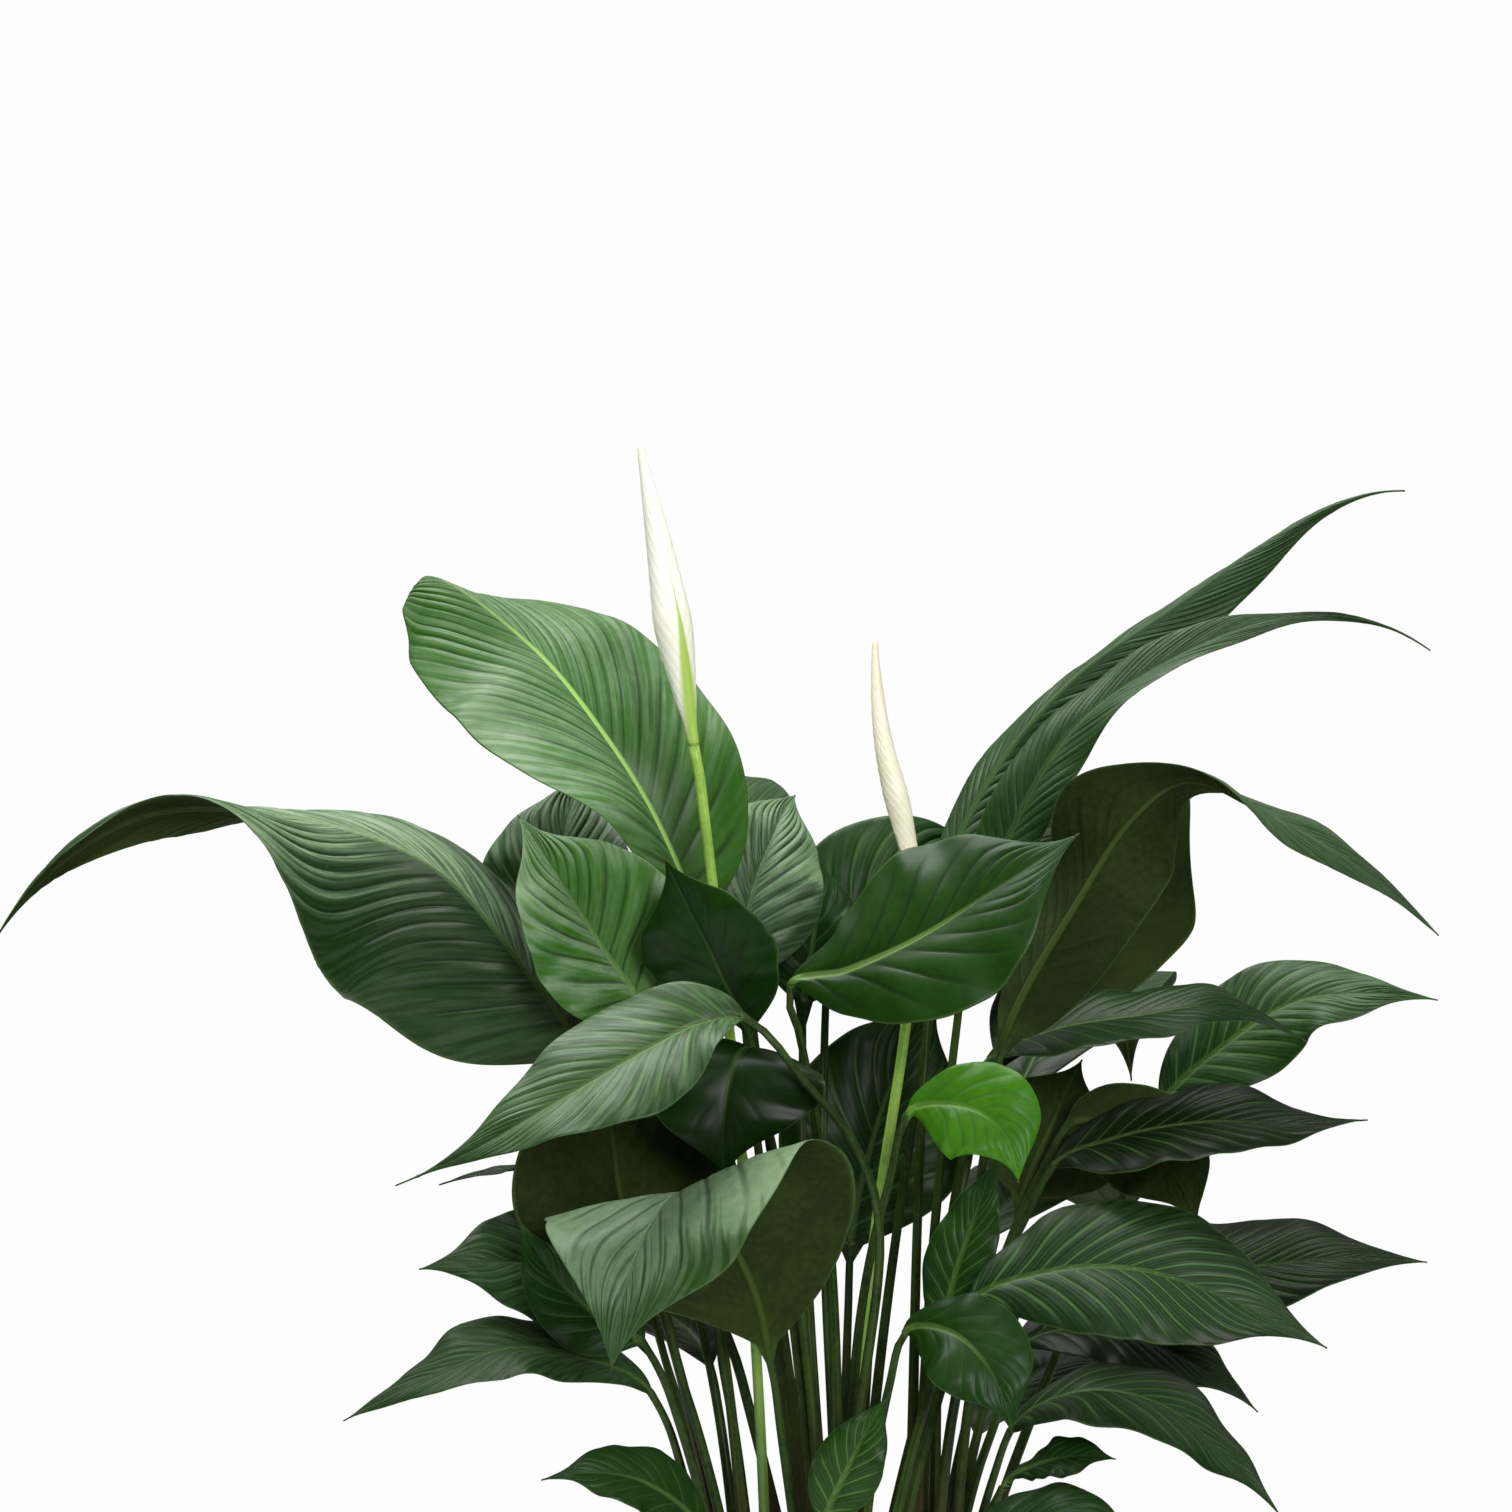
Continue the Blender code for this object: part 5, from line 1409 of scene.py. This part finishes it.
def cut_holes(piece):
    """Cuts the drain holes through the pot's floor and keeps the result as its mesh."""
    for k in range(HOLE_COUNT):
        angle = math.tau * k / HOLE_COUNT
        spot = HOLE_RING * math.cos(angle), HOLE_RING * math.sin(angle), POT_FLOOR / 2
        size = dict(vertices=HOLE_STEPS, radius=HOLE_RADIUS, depth=3 * POT_FLOOR)
        bpy.ops.mesh.primitive_cylinder_add(location=spot, **size)
        cutter = bpy.context.object
        cut = piece.modifiers.new("hole", "BOOLEAN")
        cut.object = cutter
        bpy.context.view_layer.update()
        graph = bpy.context.evaluated_depsgraph_get()
        result = bpy.data.meshes.new_from_object(piece.evaluated_get(graph))
        piece.modifiers.clear()
        piece.data = result
        bpy.data.objects.remove(cutter)
    piece.data.shade_smooth()


def clay_finish():
    """Fired clay with turning marks, pale salts that gather near its foot, and damp under its rim."""
    material, tree = new_finish("terracotta", 0.85)
    body = mottle(tree, *CLAY, 18.0, 420.0)
    edge = sums(tree, "ADD", parts(tree, placed(tree))[2], product(tree, body["Patches"], 0.06))
    salts = product(tree, ramp(tree, edge, 0.03, 0.10, 0.45, 0.0), body["Patches"])
    colour = blend(tree, salts, body["Color"], CLAY_SALTS)
    colour = blend(tree, ramp(tree, edge, 0.13, 0.175, 0.0, 0.25), colour, CLAY_DAMP)
    rough = sums(tree, "MULTIPLY_ADD", body["Patches"], 0.2, 0.72)
    steps = {"Vector": placed(tree), "Scale": 160.0, "Distortion": 1.5}
    bands = node(tree, "ShaderNodeTexWave", steps, bands_direction="Z").outputs["Fac"]
    return finished(material, colour, rough, sums(tree, "MULTIPLY_ADD", bands, 0.25, body["Grain"]), 0.0003)


def make_pot():
    rim_low = POT_TOP - RIM_HEIGHT
    inner_top = pot_radius(POT_TOP) - POT_WALL
    outline = [(0, POT_FLOOR), (pot_radius(POT_FLOOR) - POT_WALL, POT_FLOOR), (inner_top, POT_TOP)]
    outline += [(POT_TOP_RADIUS + RIM_PROUD, POT_TOP), (pot_radius(rim_low) + RIM_PROUD, rim_low)]
    outline += [(pot_radius(rim_low), rim_low), (POT_BASE_RADIUS, 0), (0, 0)]
    mesh = spun("pot", with_points(rounded(outline, RIM_ROUND), OUTLINE_SPACING), POT_STEPS)
    pot = stand_in_scene("pot", mesh, clay_finish(), "pot", "pot")
    cut_holes(pot)
    return pot


POT = make_pot()
print("pot faces:", len(POT.data.polygons))

# %% [markdown]
# ## Soil and crowns
#
# Potting mix is crumbs of peat with bits of bark and white grains of perlite. The soil's top is a fine
# polar grid that noise lifts into crumbs, and loose lumps lie half sunk in it. The crowns are the short
# woody stems that the leaves stand on, ringed by the scars and fibres of older leaves.

# %% Heap the soil
SOIL_RINGS = 70
SOIL_SPOKES = 200
CRUMB_HEIGHT = 0.0022
SOIL_HEAP = 0.003


def heaped(radius, edge):
    """The soil's height before its crumbs: a little higher in the middle than at the pot's wall."""
    return SOIL_LEVEL + SOIL_HEAP * (1 - (radius / edge) ** 2)


def crumbs(x, y):
    """The height of the soil's crumbs at a place."""
    coarse = noise.noise(Vector((x, y, 0)) * 90)
    fine = noise.noise(Vector((x, y, 3)) * 260)
    cells = noise.voronoi(Vector((x, y, 0)) * 170)[0][0]
    return CRUMB_HEIGHT * (0.5 * coarse + 0.35 * fine + 0.5 * (0.5 - cells))


def make_soil(material):
    floor = POT_FLOOR + FIT_GAP
    edge = pot_radius(SOIL_LEVEL) - POT_WALL - FIT_GAP
    radii = edge * np.linspace(0, 1, SOIL_RINGS)
    outline = [(radius, heaped(radius, edge)) for radius in radii]
    outline += [(pot_radius(floor) - POT_WALL - FIT_GAP, floor), (0, floor)]
    mesh = spun("soil", outline, SOIL_SPOKES)
    for vertex in mesh.vertices:
        if vertex.co.z > SOIL_LEVEL - 0.001:
            vertex.co.z += crumbs(vertex.co.x, vertex.co.y)
    return stand_in_scene("soil", mesh, material, "soil", "soil")

print("soil rings:", SOIL_RINGS)

# %% [markdown]
# The lumps are small spheres pushed out of round by noise, each turned its own way and half sunk. They
# keep off the crowns, and each carries a number that says whether it is peat, bark or perlite.

# %% Shape the loose lumps
LUMPS = 420
PEAT, BARK, PERLITE = 0.3, 0.6, 1.0
LUMP_SHARES = [0.5, 0.28, 0.22]


def lump(bm, rng):
    """One loose crumb, bit of bark or grain of perlite, half sunk in the soil and clear of the crowns."""
    edge = pot_radius(SOIL_LEVEL) - POT_WALL - 0.006
    while True:
        turn, out = rng.uniform(0, math.tau), edge * math.sqrt(rng.uniform(0.02, 1))
        x, y = out * math.cos(turn), out * math.sin(turn)
        offsets = [(x - cx * CROWN_SPREAD, y - cy * CROWN_SPREAD) for cx, cy in CROWNS.values()]
        if all(math.hypot(*offset) > CROWN_RADIUS for offset in offsets):
            break
    size = rng.uniform(0.0009, 0.0028)
    shape = Matrix.Diagonal((size * rng.uniform(0.8, 1.6), size, size * rng.uniform(0.5, 0.9), 1))
    turned = Matrix.Rotation(rng.uniform(0, math.tau), 4, "Z")
    spot = Matrix.Translation((x, y, heaped(out, edge) + 0.25 * size))
    made = bmesh.ops.create_icosphere(bm, subdivisions=2, radius=1, matrix=spot @ turned @ shape)["verts"]
    seed = Vector((x, y, size)) * 1000
    middle = spot.translation
    for vertex in made:
        away = vertex.co - middle
        vertex.co = middle + away * (1 + 0.35 * noise.noise(away * 700 + seed))
    return made


def scatter_lumps(soil):
    """Adds the loose lumps to the soil's mesh, and marks which of them are perlite."""
    rng = np.random.default_rng(7)
    bm = bmesh.new()
    bm.from_mesh(soil.data)
    kinds = [0.0] * len(bm.verts)
    for _ in range(LUMPS):
        kind = rng.choice([PEAT, BARK, PERLITE], p=LUMP_SHARES)
        kinds += [kind] * len(lump(bm, rng))
    bm.to_mesh(soil.data)
    bm.free()
    made = soil.data.attributes.new("kind", "FLOAT", "POINT")
    made.data.foreach_set("value", kinds)
    soil.data.shade_smooth()

print("loose lumps:", LUMPS)

# %% [markdown]
# The soil's finish reads that number. The crowns are built as rings too, with noise that is stretched
# upwards for their fibres.

# %% Fill the pot
CROWN_IN_SOIL = 0.018
CROWN_SIDE = 0.6
CROWN_LUMPS = 0.0012
PEAT_BROWN = (0.075, 0.046, 0.028), (0.020, 0.013, 0.009)
BARK_BROWN, PERLITE_WHITE = (0.16, 0.085, 0.040), (0.72, 0.69, 0.62)
CROWN_FIBRE = (0.17, 0.12, 0.050), (0.055, 0.050, 0.020)
CROWN_GREEN = (0.13, 0.19, 0.055), (0.07, 0.10, 0.03)


def soil_finish():
    material, tree = new_finish("soil", 0.95)
    body = mottle(tree, *PEAT_BROWN, 70.0, 700.0)
    kind = node(tree, "ShaderNodeAttribute", attribute_name="kind").outputs["Fac"]
    colour = blend(tree, ramp(tree, kind, 0.45, BARK), body["Color"], BARK_BROWN)
    colour = blend(tree, ramp(tree, kind, 0.8, PERLITE), colour, PERLITE_WHITE)
    rough = sums(tree, "MULTIPLY_ADD", body["Patches"], 0.15, 0.82)
    return finished(material, colour, rough, body["Grain"], 0.0012)


def make_crown(name, centre, material, rows=40, around=72):
    """A short, scarred stem: rings of fibre up its side, and a lumpy top that the stalks stand on."""
    x, y = centre[0] * CROWN_SPREAD, centre[1] * CROWN_SPREAD
    low = SOIL_LEVEL - CROWN_IN_SOIL
    share = np.linspace(0, 1, rows)
    z = np.where(share < CROWN_SIDE, low + (CROWN_TOP - low) * smooth(0, CROWN_SIDE, share), CROWN_TOP)
    out = np.where(share < CROWN_SIDE, 1, 1 - 0.97 * (share - CROWN_SIDE) / 0.4)
    turn = math.tau * np.arange(around) / around
    seed = 10 * centre[0] + 30 * centre[1]
    rings = np.empty((rows, around, 3))
    for i in range(rows):
        for j in range(around):
            at = Vector((math.cos(turn[j]), math.sin(turn[j]), 40 * z[i] + seed))
            fibre = noise.noise(Vector((at.x * 9, at.y * 9, at.z * 0.6)))
            rough = 0.05 * fibre + 0.04 * math.sin(900 * z[i] + 2 * turn[j]) - 0.05
            radius = CROWN_RADIUS * out[i] * (1 + rough * min(1, 4 * out[i]))
            lumpy = noise.noise(Vector((at.x, at.y, 7 * out[i] + seed)) * 3)
            drop = CROWN_LUMPS * (1 + lumpy) * (share[i] >= CROWN_SIDE)
            rings[i, j] = x + radius * math.cos(turn[j]), y + radius * math.sin(turn[j]), z[i] - drop
    mesh = skin(name, rings[:, ::-1])
    return stand_in_scene(name, mesh, material, "crown", name)


def crown_finish():
    material, tree = new_finish("crown", 0.75)
    body = mottle(tree, *CROWN_FIBRE, 120.0, 900.0)
    green = mottle(tree, *CROWN_GREEN, 60.0, 600.0)
    rise = ramp(tree, parts(tree, placed(tree))[2], SOIL_LEVEL + 0.004, CROWN_TOP)
    colour = blend(tree, rise, body["Color"], green["Color"])
    rough = sums(tree, "MULTIPLY_ADD", body["Patches"], 0.2, 0.6)
    return finished(material, colour, rough, body["Grain"], 0.0006)


SOIL = make_soil(soil_finish())
scatter_lumps(SOIL)
CROWN_FINISH = crown_finish()
for crown, centre in CROWNS.items():
    make_crown(f"crown_{crown}", centre, CROWN_FINISH)
print("soil faces:", len(SOIL.data.polygons))

# %% [markdown]
# ## Studio
#
# The plant stands on a pale floor in front of nothing but light. A broad soft lamp hangs above it and
# another stands in front and to the right, and the sky, brighter above than below, fills the shadows.
# The camera looks almost level at the middle of the foliage through a long lens.

# %% Camera and lamps
AIM = Vector((-0.042, 0, 0.618))
CAMERA_DISTANCE = 4.0
CAMERA_RISE = math.radians(1.5)
VIEW_WIDTH = 0.756
SENSOR_WIDTH = 36


def make_camera():
    data = bpy.data.cameras.new("camera")
    data.sensor_width = SENSOR_WIDTH
    data.lens = data.sensor_width * CAMERA_DISTANCE / VIEW_WIDTH
    camera = bpy.data.objects.new("camera", data)
    back = Vector((0, -math.cos(CAMERA_RISE), math.sin(CAMERA_RISE)))
    camera.location = AIM + CAMERA_DISTANCE * back
    camera.rotation_euler = (-back).to_track_quat("-Z", "Y").to_euler()
    bpy.context.scene.collection.objects.link(camera)
    bpy.context.scene.camera = camera


def make_lamp(name, spot, size, power, target=AIM):
    data = bpy.data.lights.new(name, "AREA")
    data.shape = "DISK"
    data.size = size
    data.energy = power
    lamp = bpy.data.objects.new(name, data)
    lamp.location = spot
    lamp.rotation_euler = (target - Vector(spot)).to_track_quat("-Z", "Y").to_euler()
    bpy.context.scene.collection.objects.link(lamp)

print("camera distance:", CAMERA_DISTANCE, "m")

# %% [markdown]
# The floor is a thin pale disc. The world shows plain white behind the plant, and
# lights it with a sky that grows brighter upwards.

# %% Floor and surroundings
FLOOR_RADIUS = 1.1
FLOOR_THICKNESS = 0.01
FLOOR_STEPS = 96
FLOOR_WHITE = (0.86, 0.86, 0.85), (0.83, 0.83, 0.82)
BACKDROP_WHITE = (0.98, 0.98, 0.98)


def make_floor():
    outline = [(0, 0), (FLOOR_RADIUS, 0), (FLOOR_RADIUS, -FLOOR_THICKNESS), (0, -FLOOR_THICKNESS)]
    mesh = spun("floor", outline, FLOOR_STEPS)
    floor = bpy.data.objects.new("floor", mesh)
    bpy.context.scene.collection.objects.link(floor)
    material, tree = new_finish("floor", 0.7)
    body = mottle(tree, *FLOOR_WHITE, 3.0, 60.0)
    mesh.materials.append(finished(material, body["Color"]))


def make_surroundings():
    """White to the camera, and for light a bright sky over a dimmer floor level."""
    world = bpy.data.worlds.new("studio")
    bpy.context.scene.world = world
    world.use_nodes = True
    tree = world.node_tree
    background = tree.nodes["Background"]
    rise = parts(tree, node(tree, "ShaderNodeTexCoord").outputs["Generated"])[2]
    glow = ramp(tree, rise, -0.1, 0.9, 0.06, 0.7)
    seen = node(tree, "ShaderNodeLightPath").outputs["Is Camera Ray"]
    level = node(tree, "ShaderNodeCombineColor", dict.fromkeys(range(3), glow)).outputs[0]
    backdrop = blend(tree, seen, (0, 0, 0), BACKDROP_WHITE)
    put(tree, background.inputs, "Color", blend(tree, seen, level, backdrop))


bpy.context.scene.view_settings.view_transform = "Standard"
make_camera()
make_surroundings()
make_floor()
make_lamp("ceiling", (-0.5, 0.1, 2.5), 1.6, 80)
make_lamp("front", (1.0, -3.2, 1.5), 1.3, 92)
print("camera lens:", round(bpy.context.scene.camera.data.lens), "mm")
